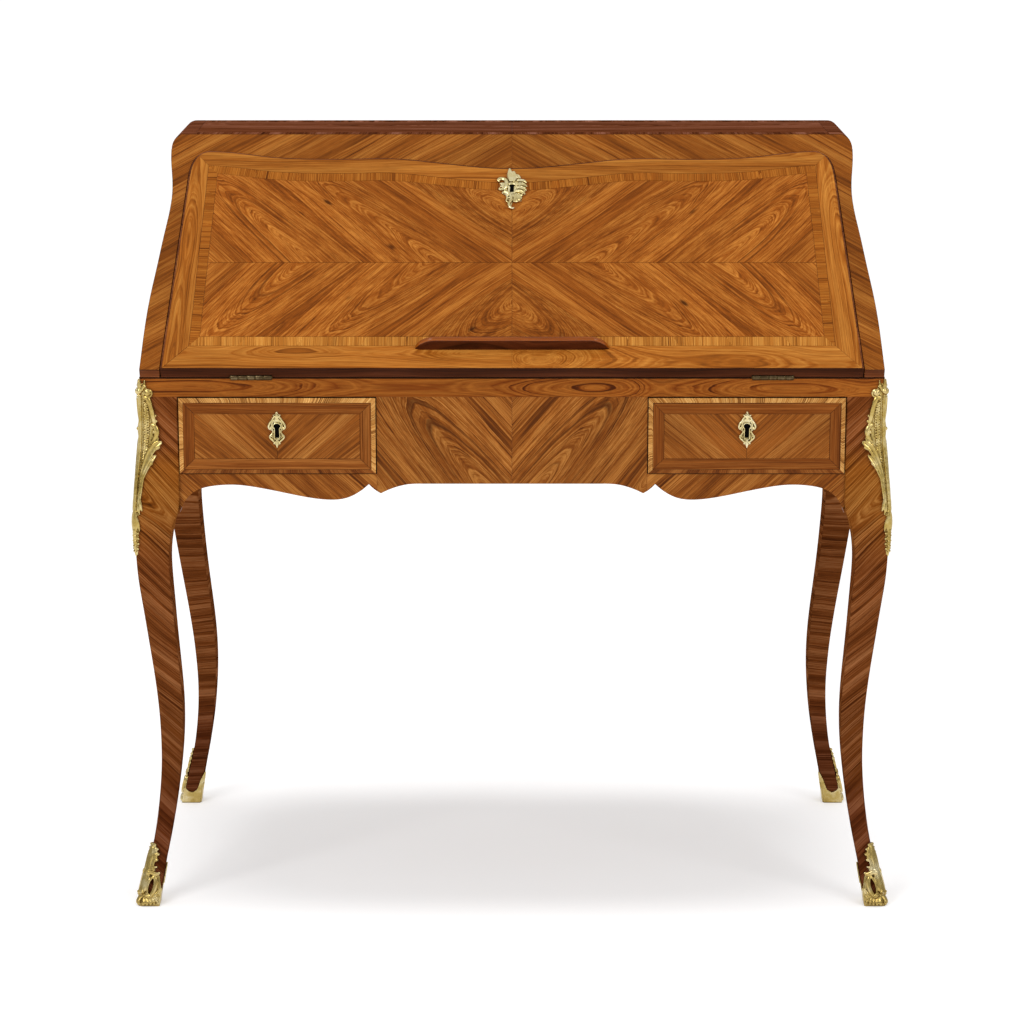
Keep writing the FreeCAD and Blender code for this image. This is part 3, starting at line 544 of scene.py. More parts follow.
# leg tulipwood; foot and toe darken the lower leg as painted shade
M_LEG = wood("veneer_leg", TD, TM, TL, gain=(0.63, 0.62, 0.52), foot=(0.58, 0.455, (0.58, 0.54, 0.9)), post=(0.595, 0.635, (0.69, 0.63, 1.05)), toe=(0.23, 0.10, (0.62, 0.55, 0.68)), contrast=1.4, spec=0.0, warp=0.012, tone=0.2, streak=0.6, ring=2.6, band=46.0, broad=0.42, fine=0.32, lines=0.36, knots=0.6)
M_EDGE = wood("solid_edge", lin(62, 30, 16), lin(104, 56, 30), lin(136, 80, 46), coord=(0.3, 0.05, 0.02))
# darker copy of the edge wood for the lid's square-cut lower edge: painted shade on a face that looks down
M_EDGE_SHADED = wood("solid_edge_painted_shade", lin(40, 18, 9), lin(65, 32, 17), lin(94, 50, 29), coord=(0.3, 0.05, 0.02))
# near-black strip along the top of the front rail: painted shadow of the gap under the lid
M_RAIL_SHADOW = wood("rail_painted_shadow", lin(9, 5, 3), lin(15, 8, 5), lin(24, 13, 8), rough=0.6, spec=0.02)
# near-black ground: dark joints between the veneers, and painted shade on the drawer sides in the gap round each drawer
M_GROUND_AND_SHADE = wood("ground", lin(34, 16, 8), lin(50, 25, 13), lin(66, 34, 18), coord=(0.1, 0.07, 0.04), rough=0.5)
M_OAK = wood("oak", lin(100, 63, 33), lin(146, 100, 58), lin(176, 131, 82), coord=(0.2, 0.07, 0.06), band=60.0, warp=0.004, fibre=0.34, rough=0.5, streak=0.25, pore=0.6)
M_BACK = wood("oak_back", lin(84, 52, 27), lin(126, 85, 47), lin(156, 113, 68), ring=2.8, band=55.0, warp=0.004, fibre=0.36, fine=0.3, broad=0.36, rough=0.55, spec=0.03, streak=0.3, pore=0.7, tone=0.16)
M_OAKY = wood("oak_along_y", lin(100, 63, 33), lin(146, 100, 58), lin(176, 131, 82), coord=(0.2, 0.07, 0.06), axis="Y", band=60.0, warp=0.004, fibre=0.34, rough=0.5, streak=0.25, pore=0.6)
M_INT = wood("interior_wood", TD, TM, TL, coord=(0.15, 0.08, 0.03), gain=(0.85, 0.85, 1.0))
M_INTY = wood("interior_wood_along_y", TD, TM, TL, coord=(0.15, 0.08, 0.03), axis="Y", gain=(0.85, 0.85, 1.0))
M_GILT = metal("gilt_bronze", lin(176, 151, 84), lin(230, 213, 160), lin(118, 92, 40), rough=0.27)
M_SHOE = metal("gilt_bronze_shoes", lin(184, 160, 94), lin(238, 227, 188), lin(132, 106, 54), rough=0.25, scale=180.0, grime_and_shade=0.8, hollow=0.004)
M_GILTP = metal("gilt_bronze_plates", lin(210, 194, 140), lin(246, 240, 210), lin(146, 120, 64), rough=0.24, grime_and_shade=0.95, hollow=0.0022)
# near-black plug seen through the keyholes: painted shade of the hole
M_KEYHOLE_SHADE = metal("keyhole_shade", lin(8, 7, 6), lin(14, 12, 10), lin(4, 3, 3), rough=0.6)
M_KINGL = wood("kingwood_polished", lin(30, 11, 4), lin(66, 28, 11), lin(98, 46, 20), ring=3.0, rough=0.3)
M_REST = wood("rest_edge_polished", TD, TM, TL, ring=3.0, coat=0.4, rough=0.22, gain=(0.70, 0.52, 0.2))
M_BRASS = metal("hinge_brass", lin(92, 74, 40), lin(150, 128, 80), lin(44, 32, 16), rough=0.36)
M_BARREL = metal("hinge_barrel", lin(66, 50, 30), lin(168, 150, 112), lin(22, 16, 9), rough=0.3, scale=120.0)
# near-black material on the rounded ends of the hinge knuckles: painted shade between the knuckles
M_BARREL_END_SHADE = metal("hinge_barrel_ends_painted_shade", lin(26, 20, 12), lin(40, 32, 22), lin(14, 10, 6), rough=0.5)
M_IRON = metal("lock_iron", lin(60, 58, 56), lin(96, 94, 92), lin(26, 24, 22), rough=0.45)


def leather(name):
    t = Tree(name)
    P = t.n("ShaderNodeTexCoord").outputs["Object"]
    v = t.n("ShaderNodeTexVoronoi", feature="DISTANCE_TO_EDGE")
    t.put(v, "Vector", P); t.put(v, "Scale", 900.0)
    pebble = t.span(v.outputs["Distance"], 0.0, 0.25)
    big = t.noise(P, 14.0, 4.0, 0.6)
    col = t.ramp(big, [(0.3, lin(58, 23, 15)), (0.52, lin(74, 30, 20)), (0.74, lin(90, 39, 26))])
    col = t.mix(t.math("MULTIPLY", t.math("SUBTRACT", 1.0, pebble), 0.45), col, lin(26, 10, 8))
    t.put(t.b, "Base Color", col)
    t.put(t.b, "Roughness", t.math("ADD", t.math("MULTIPLY", big, 0.2), 0.36))
    t.bump(pebble, 0.25, 0.0005)
    return t.mat


M_LEATHER = leather("writing_leather")


# ------------------------------------------------------------------ placing functions
def on_slope(x, s, n):
    return (x, YF + (s - n) * C, ZP + (s + n) * C)


def on_front(x, z, h):
    return (x, YF - h, z)


def set_mat(node, mat):
    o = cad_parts[node]
    o.data.materials.clear()
    o.data.materials.append(mat)
    for p in o.data.polygons:
        p.material_index = 0


H0, H1 = -0.2, 0.3           # veneer thickness on flat faces, about the CAD face
SEAM = 0.22                  # half a glue line


# ------------------------------------------------------------------ lid
def lid_core():
    m = Mesh()
    R = 2.4
    right = LID_HALF
    left = [(-x, s) for x, s in reversed(right[:-1])]
    line = right + left                       # lower right, round the top, to lower left
    levels = [(0.0, 0.0), (LID_T - R, 0.0)]
    for k in range(1, 6):
        a = math.radians(90.0 * k / 5)
        levels.append((LID_T - R + R * math.sin(a) - (0.5 if k == 5 else 0.0), R * (1 - math.cos(a))))
    rings = []
    for n, d in levels:
        pts = offset_open(line, d) if d else list(line)
        if d:
            pts[0] = (right[0][0] - d, right[0][1]); pts[-1] = (-right[0][0] + d, right[0][1])
        rings.append([m.vert(on_slope(x, s, n)) for x, s in pts])
    g = lambda i: [(0, 0, 0)] * i
    k = len(line)
    for a, b in zip(rings, rings[1:]):
        for i in range(k - 1):
            m.face([a[i], a[i + 1], b[i + 1], b[i]], 0, None, True)
    m.face(rings[0][::-1], 1)
    m.face(rings[-1], 0)
    # the square-cut lower edge takes the darker copy of the edge wood: painted shade
    m.face([r[0] for r in rings] + [r[-1] for r in reversed(rings)], 2)
    return m


LIDC = lid_core()
lid_obj = LIDC.obj("lid_core", [M_EDGE, M_INT, M_EDGE_SHADED], "lid", ("lid_panel",), "tulipwood_veneer")


def cut(o, bm):
    """takes a closed cutter out of a mesh"""
    bmesh.ops.recalc_face_normals(bm, faces=bm.faces)
    me = bpy.data.meshes.new("cutter")
    bm.to_mesh(me); bm.free()
    c = bpy.data.objects.new("cutter", me)
    bpy.context.scene.collection.objects.link(c)
    md = o.modifiers.new("cut", "BOOLEAN")
    md.operation = "DIFFERENCE"; md.object = c; md.solver = "EXACT"
    dg = bpy.context.evaluated_depsgraph_get()
    new = bpy.data.meshes.new_from_object(o.evaluated_get(dg))
    o.modifiers.clear()
    old = o.data
    o.data = new
    bpy.data.meshes.remove(old)
    bpy.data.objects.remove(c)
    bpy.data.meshes.remove(me)


def cut_boxes(o, boxes, cyls=()):
    """cuts pockets given in lid coordinates, and round grooves along the hinge line"""
    for x0, s0, n0, x1, s1, n1 in boxes:
        bm = bmesh.new()
        vs = [bm.verts.new(Vector(on_slope(x, s, n)) * 0.001) for x in (x0, x1) for s in (s0, s1) for n in (n0, n1)]
        for f in ((0, 1, 3, 2), (4, 6, 7, 5), (0, 4, 5, 1), (2, 3, 7, 6), (0, 2, 6, 4), (1, 5, 7, 3)):
            bm.faces.new([vs[i] for i in f])
        cut(o, bm)
    for x0, x1, r in cyls:
        bm = bmesh.new()
        N = 24
        rings = []
        for x in (x0, x1):
            rings.append([bm.verts.new(Vector((x, YF + r * math.cos(2 * math.pi * k / N), ZP + r * math.sin(2 * math.pi * k / N))) * 0.001) for k in range(N)])
        for k in range(N):
            bm.faces.new([rings[0][k], rings[0][(k + 1) % N], rings[1][(k + 1) % N], rings[1][k]])
        bm.faces.new(rings[0][::-1]); bm.faces.new(rings[1])
        cut(o, bm)


HX, HL = 339.5, 54.0
cut_boxes(lid_obj, [(-30, 282, -2, 30, 322, 12), (-12.3, 297.7, 2.7, 12.3, 345, 9.3), (-390, 52, -2, 390, 268, 1.4),
                    (-HX - HL / 2, -2, -5, -HX + HL / 2, 30, 1.6), (HX - HL / 2, -2, -5, HX + HL / 2, 30, 1.6),
                    (-2.6, 288, 9, 2.6, 301, 30)],
          [(-HX - HL / 2 - 0.6, -HX + HL / 2 + 0.6, 4.1), (HX - HL / 2 - 0.6, HX + HL / 2 + 0.6, 4.1)])


def resample(pts, step):
    L = arc_len(pts)
    n = max(2, int(round(L[-1] / step)) + 1)
    out = []
    j = 0
    for k in range(n):
        t = L[-1] * k / (n - 1)
        while j < len(L) - 2 and L[j + 1] < t:
            j += 1
        f = (t - L[j]) / ((L[j + 1] - L[j]) or 1e-9)
        out.append((pts[j][0] + (pts[j + 1][0] - pts[j][0]) * f, pts[j][1] + (pts[j + 1][1] - pts[j][1]) * f))
    return out


def crossbands(m, out, inn, M, h0, h1, rnd, mat, seg=(45, 85), gap=0.0):
    """a crossbanded strip made of short pieces; out and inn run the same way with equally many points"""
    mid = [((p[0] + q[0]) / 2, (p[1] + q[1]) / 2) for p, q in zip(out, inn)]
    L = arc_len(mid)
    i = 0
    n = len(out)
    while i < n - 1:
        want = rnd.uniform(*seg)
        j = i + 1
        while j < n - 1 and L[j] - L[i] < want:
            j += 1
        if n - 1 - j < 2:
            j = n - 1
        v0, w0, u0 = rnd.choice((-1, 1)) * rnd.uniform(150, 420), rnd.uniform(10, 110), rnd.uniform(0, 900)
        ang = math.degrees(math.atan2(mid[j][1] - mid[i][1], mid[j][0] - mid[i][0])) + 90.0
        m.band(out[i:j + 1], inn[i:j + 1], M, h0, h1, leaf(ang + rnd.uniform(-2, 2), mid[i], v0, w0, 0.0, u0), mat, planar=True)
        i = j


def lid_veneers():
    rnd = random.Random(11)
    m = Mesh()
    h0, h1 = LID_T - 0.7, LID_T
    E = 2.3                                           # veneer stops where the edge starts to round
    BT, CB = 23.5, 13.0                               # upper band width, crossband width
    top = [(x, s) for x, s in LID_HALF if True]
    # upper boundary lines on the right half, from the corner to the middle
    edge_top = [p for p in lid_top_s()]
    e0 = offset_open(edge_top, E)                     # direction runs towards the middle; left of it is down the slope
    e1 = offset_open(edge_top, E + BT)
    e2 = offset_open(edge_top, E + BT + CB)
    e0[-1] = (0, e0[-1][1]); e1[-1] = (0, e1[-1][1]); e2[-1] = (0, e2[-1][1])
    x1 = lambda s: 421.0 - 0.0385 * (s - 36)          # outer edge of the side crossband
    x2 = lambda s: x1(s) - 13.0
    S_B1, S_B2 = 36.0, 50.5
    # where the side lines meet the upper curves

    def meet(line, xf):
        pts = [p for p in line]
        for k in range(len(pts) - 1):
            a, b = pts[k], pts[k + 1]
            fa, fb = a[0] - xf(a[1]), b[0] - xf(b[1])
            if fa >= 0 >= fb:
                t = fa / ((fa - fb) or 1e-9)
                return k, (a[0] + (b[0] - a[0]) * t, a[1] + (b[1] - a[1]) * t)
        return 0, pts[0]
    k1, c1 = meet(e1, x1)
    k2, c2 = meet(e2, x2)
    corner = [p for p in LID_HALF if p[1] >= 317.9][:10]
    ce = offset_open([(lid_half(290), 290)] + corner + [LID_TOP[1]], E)[1:-1]
    # mitre point on the rounded corner
    mi = min(range(len(ce)), key=lambda i: abs((ce[i][0] - c1[0]) - (ce[i][1] - c1[1])))
    pm = ce[mi]
    for sx in (1, -1):
        fx = (lambda pts: [(x, s) for x, s in pts]) if sx > 0 else (lambda pts: [(-x, s) for x, s in pts])
        sh = lambda poly: inset(ccw(fx(poly)), SEAM)
        # side band
        side_out = [(lid_half(0.4) - E, 0.6)] + [(lid_half(s) - E, s) for s in (60, 120, 180, 240, 300)] + [p for p in ce[:mi + 1]]
        side_in = [c1, (x1(200), 200), (x1(100), 100), (x1(S_B1), S_B1)]
        lg = leaf(90 + 3.6, (438, 0), v0=10 + 4 * sx, w0=9 + 2 * sx, tilt=0.03, u0=300 + 150 * sx, mx=sx < 0)
        m.slab(sh(side_out + side_in), on_slope, h0, h1, lg, 1, 4)
        # upper band: follows the curve
        out = ce[mi:] + e0[1:]
        inn = [c1] + e1[k1 + 1:]
        out, inn = resample(out, 7.0), resample(inn, 7.0)
        n = min(len(out), len(inn))
        out = resample_n(out, n); inn = resample_n(inn, n)
        if sx < 0:
            out, inn = fx(out), fx(inn)
        m.band(*trim(out, inn, SEAM), on_slope, h0, h1, leaf(-1.5, (150, 350), v0=-16 + 5 * sx, w0=10, tilt=0.03, u0=2100 + 90 * sx, mx=sx < 0), 1, 4, planar=True)
        # side crossband
        so = [(x1(s), s) for s in frange(S_B1, c1[1], 7.0)]
        so[-1] = c1
        si = [(x2(s), s) for s in frange(S_B2, c2[1], 7.0)]
        si[-1] = c2
        nn = max(len(so), len(si))
        so, si = resample_n(so, nn), resample_n(si, nn)
        crossbands(m, *trim(fx(so), fx(si), SEAM), on_slope, h0, h1, rnd, 3)
        # upper crossband
        to = resample([c1] + e1[k1 + 1:], 6.0)
        ti = resample_n([c2] + e2[k2 + 1:], len(to))
        crossbands(m, *trim(fx(to), fx(ti), SEAM), on_slope, h0, h1, rnd, 3)
        # lower crossband and lower band
        bo = resample([(x1(S_B1), S_B1), (0, S_B1)], 7.0)
        bi = resample_n([(x2(S_B2), S_B2), (0, S_B2)], len(bo))
        crossbands(m, *trim(fx(bo), fx(bi), SEAM), on_slope, h0, h1, rnd, 2)
        lb = [(lid_half(0.4) - E, 0.6), (x1(S_B1), S_B1), (0, S_B1), (0, 0.6)]
        if sx > 0:
            ba = resample_n([lb[0], lb[3]], 64); bb = resample_n([lb[1], lb[2]], 64)
            tab = [(0, 22), (34, 0), (60, 15), (100, 25), (170, 31), (460, 38)]
            m.band(*trim(ba, bb, SEAM), on_slope, h0, h1, eyed(tab, 17.0, 640, 1, 0.02), 1, 4, planar=True)
        else:
            m.slab(sh(lb), on_slope, h0, h1, leaf(0.5, (0, 18), v0=6 + 12 * sx, w0=8, tilt=0.02, u0=900 + 260 * sx, mx=True), 1, 4)
        # quarter-matched field
        SM = 170.8
        up = [c2] + e2[k2 + 1:]
        upper = [(0, SM)] + [(x2(SM), SM)] + up
        lower = [(0, S_B2), (x2(S_B2), S_B2), (x2(SM), SM), (0, SM)]
        plan = [(-420, -262, -296, 380, 0.05, 110), (-262, -136, -196, 186, 0.14, 400), (-136, -32, -71, 66, 0.15, 1200), (-32, 20, 50, -160, 0.06, 1750),
                (20, 104, 63, 40, 0.24, 2100), (104, 260, 88, 240, 0.06, 2700)]
        for q, poly in ((0, upper), (1, lower)):
            mir = (lambda a, b, sx=sx, q=q: (a * sx, 2 * SM - b if q else b))
            sft = {(1, 0): (0, 0, 0), (1, 1): (22, 5.0, 3.5), (-1, 0): (-16, -4.0, 2.4), (-1, 1): (34, 7.0, 6.0)}[(sx, q)]
            strips(m, sh(poly), on_slope, h0, h1, 39.0, (0, SM), plan, 0, 4, mir, sft, fan=(1214.0, 969.0))
    return m


def clip(poly, nx, ny, d):
    """the part of a polygon where nx*a + ny*b <= d"""
    out = []
    n = len(poly)
    for i in range(n):
        p, q = poly[i], poly[(i + 1) % n]
        fp, fq = nx * p[0] + ny * p[1] - d, nx * q[0] + ny * q[1] - d
        if fp <= 0:
            out.append(p)
        if (fp < 0 < fq) or (fq < 0 < fp):
            t = fp / (fp - fq)
            out.append((p[0] + (q[0] - p[0]) * t, p[1] + (q[1] - p[1]) * t))
    return out


def strips(m, poly, M, h0, h1, ang, origin, plan, mat, em, mirror=None, shift=(0.0, 0.0, 0.0), fan=None):
    """lays a leaf as strips sawn along the grain. plan: (across from, across to, heart line across, place along where the heart
    meets the surface, rise of the surface out of the heart, seed). mirror(a, b) maps a point to the leaf it is matched with.
    fan: point, from the origin, where the grain lines would meet"""
    ca, sa = math.cos(math.radians(ang)), math.sin(math.radians(ang))
    mp = mirror or (lambda a, b: (a, b))
    base = [mp(a, b) for a, b in poly]
    off = origin[0] * sa - origin[1] * ca
    if fan:
        R0, th0 = math.hypot(*fan), math.atan2(-fan[1], -fan[0])
        fc = (origin[0] + fan[0], origin[1] + fan[1])

    def uv(a, b):
        if fan:
            dx, dy = a - fc[0], b - fc[1]
            return R0 - math.hypot(dx, dy), -(math.atan2(dy, dx) - th0) * R0
        da, db = a - origin[0], b - origin[1]
        return da * ca + db * sa, -da * sa + db * ca

    def half(pts, v, keep_above):
        """the part of a polygon on one side of the line of constant v"""
        if fan:
            th = th0 - v / R0
            nx, ny = -math.sin(th), math.cos(th)
            d = nx * fc[0] + ny * fc[1]
            return clip(pts, nx, ny, d) if keep_above else clip(pts, -nx, -ny, -d)
        return clip(pts, sa, -ca, -(v - off)) if keep_above else clip(pts, -sa, ca, v - off)
    for v0, v1, vc, uc, rise, seed in plan:
        sub = half(base, v0, True)
        if len(sub) >= 3:
            sub = half(sub, v1, False)
        if len(sub) < 3 or abs(area2(sub)) < 20.0:
            continue

        def g(a, b, vc=vc, uc=uc, rise=rise, seed=seed):
            u, v = uv(*mp(a, b))
            return ((u + seed + shift[0]) * 0.001, (v - vc + shift[1]) * 0.001, (rise * (u + shift[0] - uc) + shift[2] + 2.0) * 0.001)
        real = [mp(a, b) for a, b in sub]              # a mirror is its own inverse
        real = [q for i, q in enumerate(real) if math.dist(q, real[i - 1]) > 0.05]
        if len(real) >= 3:
            m.slab(real, M, h0, h1, g, mat, em)


def rift(v0, v1, width, rnd, side=None):
    """plan for straight-grained strips: the heart lies outside each strip"""
    out = []
    v = v0
    while v < v1:
        w = width * rnd.uniform(0.75, 1.25)
        sd = side or rnd.choice((-1, 1))
        vc = v - rnd.uniform(14, 40) if sd < 0 else v + w + rnd.uniform(14, 40)
        out.append((v, min(v + w, v1), vc, rnd.uniform(-400, 400), rnd.choice((-1, 1)) * rnd.uniform(0.03, 0.07), rnd.uniform(0, 3000)))
        v += w
    return out


def frange(a, b, step):
    n = max(1, int(round((b - a) / step)))
    return [a + (b - a) * k / n for k in range(n + 1)]


def resample_n(pts, n):
    L = arc_len(pts)
    out = []
    j = 0
    for k in range(n):
        t = L[-1] * k / (n - 1)
        while j < len(L) - 2 and L[j + 1] < t:
            j += 1
        f = (t - L[j]) / ((L[j + 1] - L[j]) or 1e-9)
        out.append((pts[j][0] + (pts[j + 1][0] - pts[j][0]) * f, pts[j][1] + (pts[j + 1][1] - pts[j][1]) * f))
    return out


def trim(out, inn, d):
    """pull the two long edges of a band towards each other by d"""
    o2, i2 = [], []
    for p, q in zip(out, inn):
        l = math.dist(p, q) or 1e-9
        ux, uy = (q[0] - p[0]) / l * d, (q[1] - p[1]) / l * d
        o2.append((p[0] + ux, p[1] + uy)); i2.append((q[0] - ux, q[1] - uy))
    return o2, i2


lid_veneers().obj("lid_veneers", [M_FIELD, M_BAND, M_CROSS, M_CROSS2, M_GROUND_AND_SHADE], "lid", slot="tulipwood_veneer")


# ------------------------------------------------------------------ sloping frame round the lid
def slope_frame():
    m = Mesh()
    h0, h1 = FRAME_T - 0.2, FRAME_T + 0.25
    s_top = (ZT - ZP) / C - FRAME_T                    # front edge of the top
    out = []
    for s in frange(0.0, s_top - 0.6, 7.0):
        z = ZP + (s + FRAME_T) * C
        if z <= ZT - TOP_R:
            x = side_x(min(z, 989.0))
        else:
            d = z - (ZT - TOP_R)
            x = 462.0 - TOP_R + math.sqrt(max(TOP_R ** 2 - d * d, 0.0))
        out.append((x - 0.25, s))
    out.append((462.0 - TOP_R - 1.5, s_top - 0.5))
    inn = [(x + GAP + 0.2, s) for x, s in LID_HALF if s < 317]
    inn += [(x + GAP * 0.75 + 0.1, s + GAP * 0.75) for x, s in lid_corner()]
    inn += [(x, s + GAP + 0.2) for x, s in lid_top_s()]
    inn[0] = (inn[0][0], 0.0)
    for sx in (1, -1):
        poly = out + [(0.0, s_top - 0.5)] + inn[::-1]
        if sx < 0:
            poly = [(-x, s) for x, s in poly]
        poly = inset(ccw(poly), 0.12)
        # the grain rises towards the middle
        for part in (clip(poly, -sx, 0, -425.0), clip(poly, sx, 0, 425.0)):
            strips(m, part, on_slope, h0, h1, 180 - 35.0, (0, 380), rift(-330, 350, 60, random.Random(8)), 0, 1, (lambda a, b, sx=sx: (a * sx, b)), (0, 0, 0) if sx > 0 else (18, 3, 3))
    return m


slope_frame().obj("slope_frame_veneers", [M_FRAME, M_GROUND_AND_SHADE], "carcase", slot="tulipwood_veneer")


# ------------------------------------------------------------------ front of the frieze
APRON = smooth_pts(APRON_A, 4)[:-1] + smooth_pts(APRON_B, 3)[:-1] + smooth_pts(APRON_C, 4)


def front_veneers():
    rnd = random.Random(5)
    m = Mesh()
    # top rail, grain along its length
    tab = [(-485, 5), (-462, 2.2), (-420, 0.6), (-394, 1.8), (-368, 6), (-254, 20), (-180, 23.6), (-90, 24.6), (-20, 21), (60, 11), (108, 4.4), (150, 11), (186, 25),
           (336, 5), (380, 4), (420, 9), (460, 15), (485, 11)]
    lo = [(x, RAIL_Z0 + 0.2) for x in frange(-HW + 0.4, HW - 0.4, 6.0)]
    hi = [(x, ZP - 1.9) for x, z in lo]
    m.band(lo, hi, on_front, H0, H1, eyed(tab, 705.5, 200, 1, 0.004), 1, 2, planar=True)
    # near-black strip along the top of the rail: painted shadow of the gap under the lid's lower edge
    m.slab([(-HW + 0.4, ZP - 1.85), (HW - 0.4, ZP - 1.85), (HW - 0.4, ZP - 0.1), (-HW + 0.4, ZP - 0.1)], on_front, H0, H1 - 0.12, lambda a, b: (a * 0.001, b * 0.001, 0.0), 3)
    for sx in (1, -1):
        fx = (lambda pts: [(x, z) for x, z in pts]) if sx > 0 else (lambda pts: [(-x, z) for x, z in pts])
        # centre panel half: from the rail down to the lower edge
        low_c = [p for p in APRON if p[0] <= 177.0]
        cz = low_c[0]
        poly = [(177.0, RAIL_Z0), (177.0, 568.0)] + [p for p in low_c if p[0] < 176.0] + [(0.0, APRON[-1][1]), (0.0, RAIL_Z0)]
        strips(m, inset(ccw(fx(poly)), SEAM), on_front, H0, H1, 50.0, (0, 640), [(-230, -128, -176, 420, 0.05, 900), (-128, -14, -70, -44, 0.13, 2300), (-14, 160, 60, 300, 0.05, 400)], 0, 2, (lambda a, b, sx=sx: (a * sx, b)), (0, 0, 0) if sx > 0 else (12, 2, 3))
        # apron under the drawer
        low_a = [p for p in APRON if p[0] > 177.0]
        poly = [(DX1, DZ0), (DX1, 538.7)] + low_a[1:] + [(177.0, 568.0), (177.0, DZ0)]
        m.slab(inset(ccw(fx(poly)), 0.12), on_front, H0, H1, leaf(43.0, (485, 600), v0=30, w0=24 + sx, tilt=0.05, u0=100, mx=sx < 0), 0, 2)
    return m


front_veneers().obj("frieze_veneers", [M_FRIEZE, M_RAIL, M_GROUND_AND_SHADE, M_RAIL_SHADOW], "carcase", slot="tulipwood_veneer")


# ------------------------------------------------------------------ legs
def leg_mesh(sx, sy, z_top, rear):
    """cabriole leg with soft corners; sx, sy choose the corner of the desk"""
    m = Mesh()
    zs = frange(0.0, z_top, 9.0)
    R = 2.6
    K = 3
    rings = []
    for z in zs:
        zz = min(z, 693.0)
        o, i = leg_out(zz), leg_in(zz)
        w = o - i
        yo = -YF + (o - HW)                            # outer face, away from the middle
        ring = []
        # local corner order: outer-front, inner-front, inner-back, outer-back (seen from above for +x, front = outer in y)
        cs = [(o, yo), (i, yo), (i, yo - w), (o, yo - w)]
        for c, (cx, cy) in enumerate(cs):
            px, py = cs[c - 1]
            nx, ny = cs[(c + 1) % 4]
            da = ((px - cx) / w, (py - cy) / w); db = ((nx - cx) / w, (ny - cy) / w)
            for k in range(K + 1):
                t = k / K
                # quadratic corner
                ax, ay = cx + da[0] * R, cy + da[1] * R
                bx, by = cx + db[0] * R, cy + db[1] * R
                x = (1 - t) ** 2 * ax + 2 * t * (1 - t) * cx + t * t * bx
                y = (1 - t) ** 2 * ay + 2 * t * (1 - t) * cy + t * t * by
                ring.append((x, y))
        rings.append((z, ring, o, i, yo))
    N = 4 * (K + 1)
    vs = [[m.vert(((x - (rear_shift(z) if rear else 0.0)) * sx, y * sy, z)) for x, y in ring] for z, ring, o, i, yo in rings]
    flip = (sx * sy) > 0

    def grain(face, x, y, z, o, yo):
        # distance from the outer corner across the face
        if face in (0, 2):
            a = (o - x)
            ref = (485.0 - x)
        else:
            a = (yo - y)
            ref = (225.0 - y)
        if rear:
            ang, kx = 2.0, 37.0
        else:
            ang, kx = -43.0, 0.0
        ca, sa = math.cos(math.radians(ang)), math.sin(math.radians(ang))
        # keeps the pattern in step with the apron next to it
        da, db = ref, z - 600.0
        u, v = da * ca + db * sa, -da * sa + db * ca
        seed = {0: 0.0, 1: 170.0, 2: 330.0, 3: 80.0}[face] + kx + (15 if sx > 0 else 0) + (0 if sy < 0 else 400)
        return ((u + 100 + seed) * 0.001, (v + 30 + seed * 0.13) * 0.001, (24 + 0.05 * u + (1 if sx > 0 else 0)) * 0.001)
    for r in range(len(rings) - 1):
        for k in range(N):
            k2 = (k + 1) % N
            c, part = divmod(k, K + 1)
            # which flat face this quad belongs to: corner arcs split in the middle
            if part == K:
                face = (c, "flat")
            else:
                face = ((c - 1) % 4 if part < K / 2 else c, "arc")
            fidx = {0: 0, 1: 3, 2: 2, 3: 1}[face[0]]
            q = [(r, k), (r, k2), (r + 1, k2), (r + 1, k)]
            idx = [vs[a][b] for a, b in q]
            gr = []
            for a, b in q:
                z, ring, o, i, yo = rings[a]
                gr.append(grain(fidx, ring[b][0], ring[b][1], z, o, yo))
            if flip:
                idx.reverse(); gr.reverse()
            m.face(idx, 0, gr, True)
    m.face(vs[0] if flip else vs[0][::-1], 0)
    m.face(vs[-1][::-1] if flip else vs[-1], 0)
    return m


for nm, sx, sy, zt in (("leg_front_left", -1, -1, 693.0), ("leg_front_right", 1, -1, 693.0), ("leg_rear_left", -1, 1, 719.0), ("leg_rear_right", 1, 1, 719.0)):
    leg_mesh(sx, sy, zt, sy > 0).obj(nm + "_veneered", [M_LEG], "carcase", (nm,), "tulipwood_veneer")


# ------------------------------------------------------------------ drawer fronts
def cut_world(o, boxes):
    """cuts square pockets given in the shared frame, mm"""
    for x0, y0, z0, x1, y1, z1 in boxes:
        bm = bmesh.new()
        vs = [bm.verts.new(Vector((x, y, z)) * 0.001) for x in (x0, x1) for y in (y0, y1) for z in (z0, z1)]
        for f in ((0, 1, 3, 2), (4, 6, 7, 5), (0, 4, 5, 1), (2, 3, 7, 6), (0, 2, 6, 4), (1, 5, 7, 3)):
            bm.faces.new([vs[i] for i in f])
        cut(o, bm)


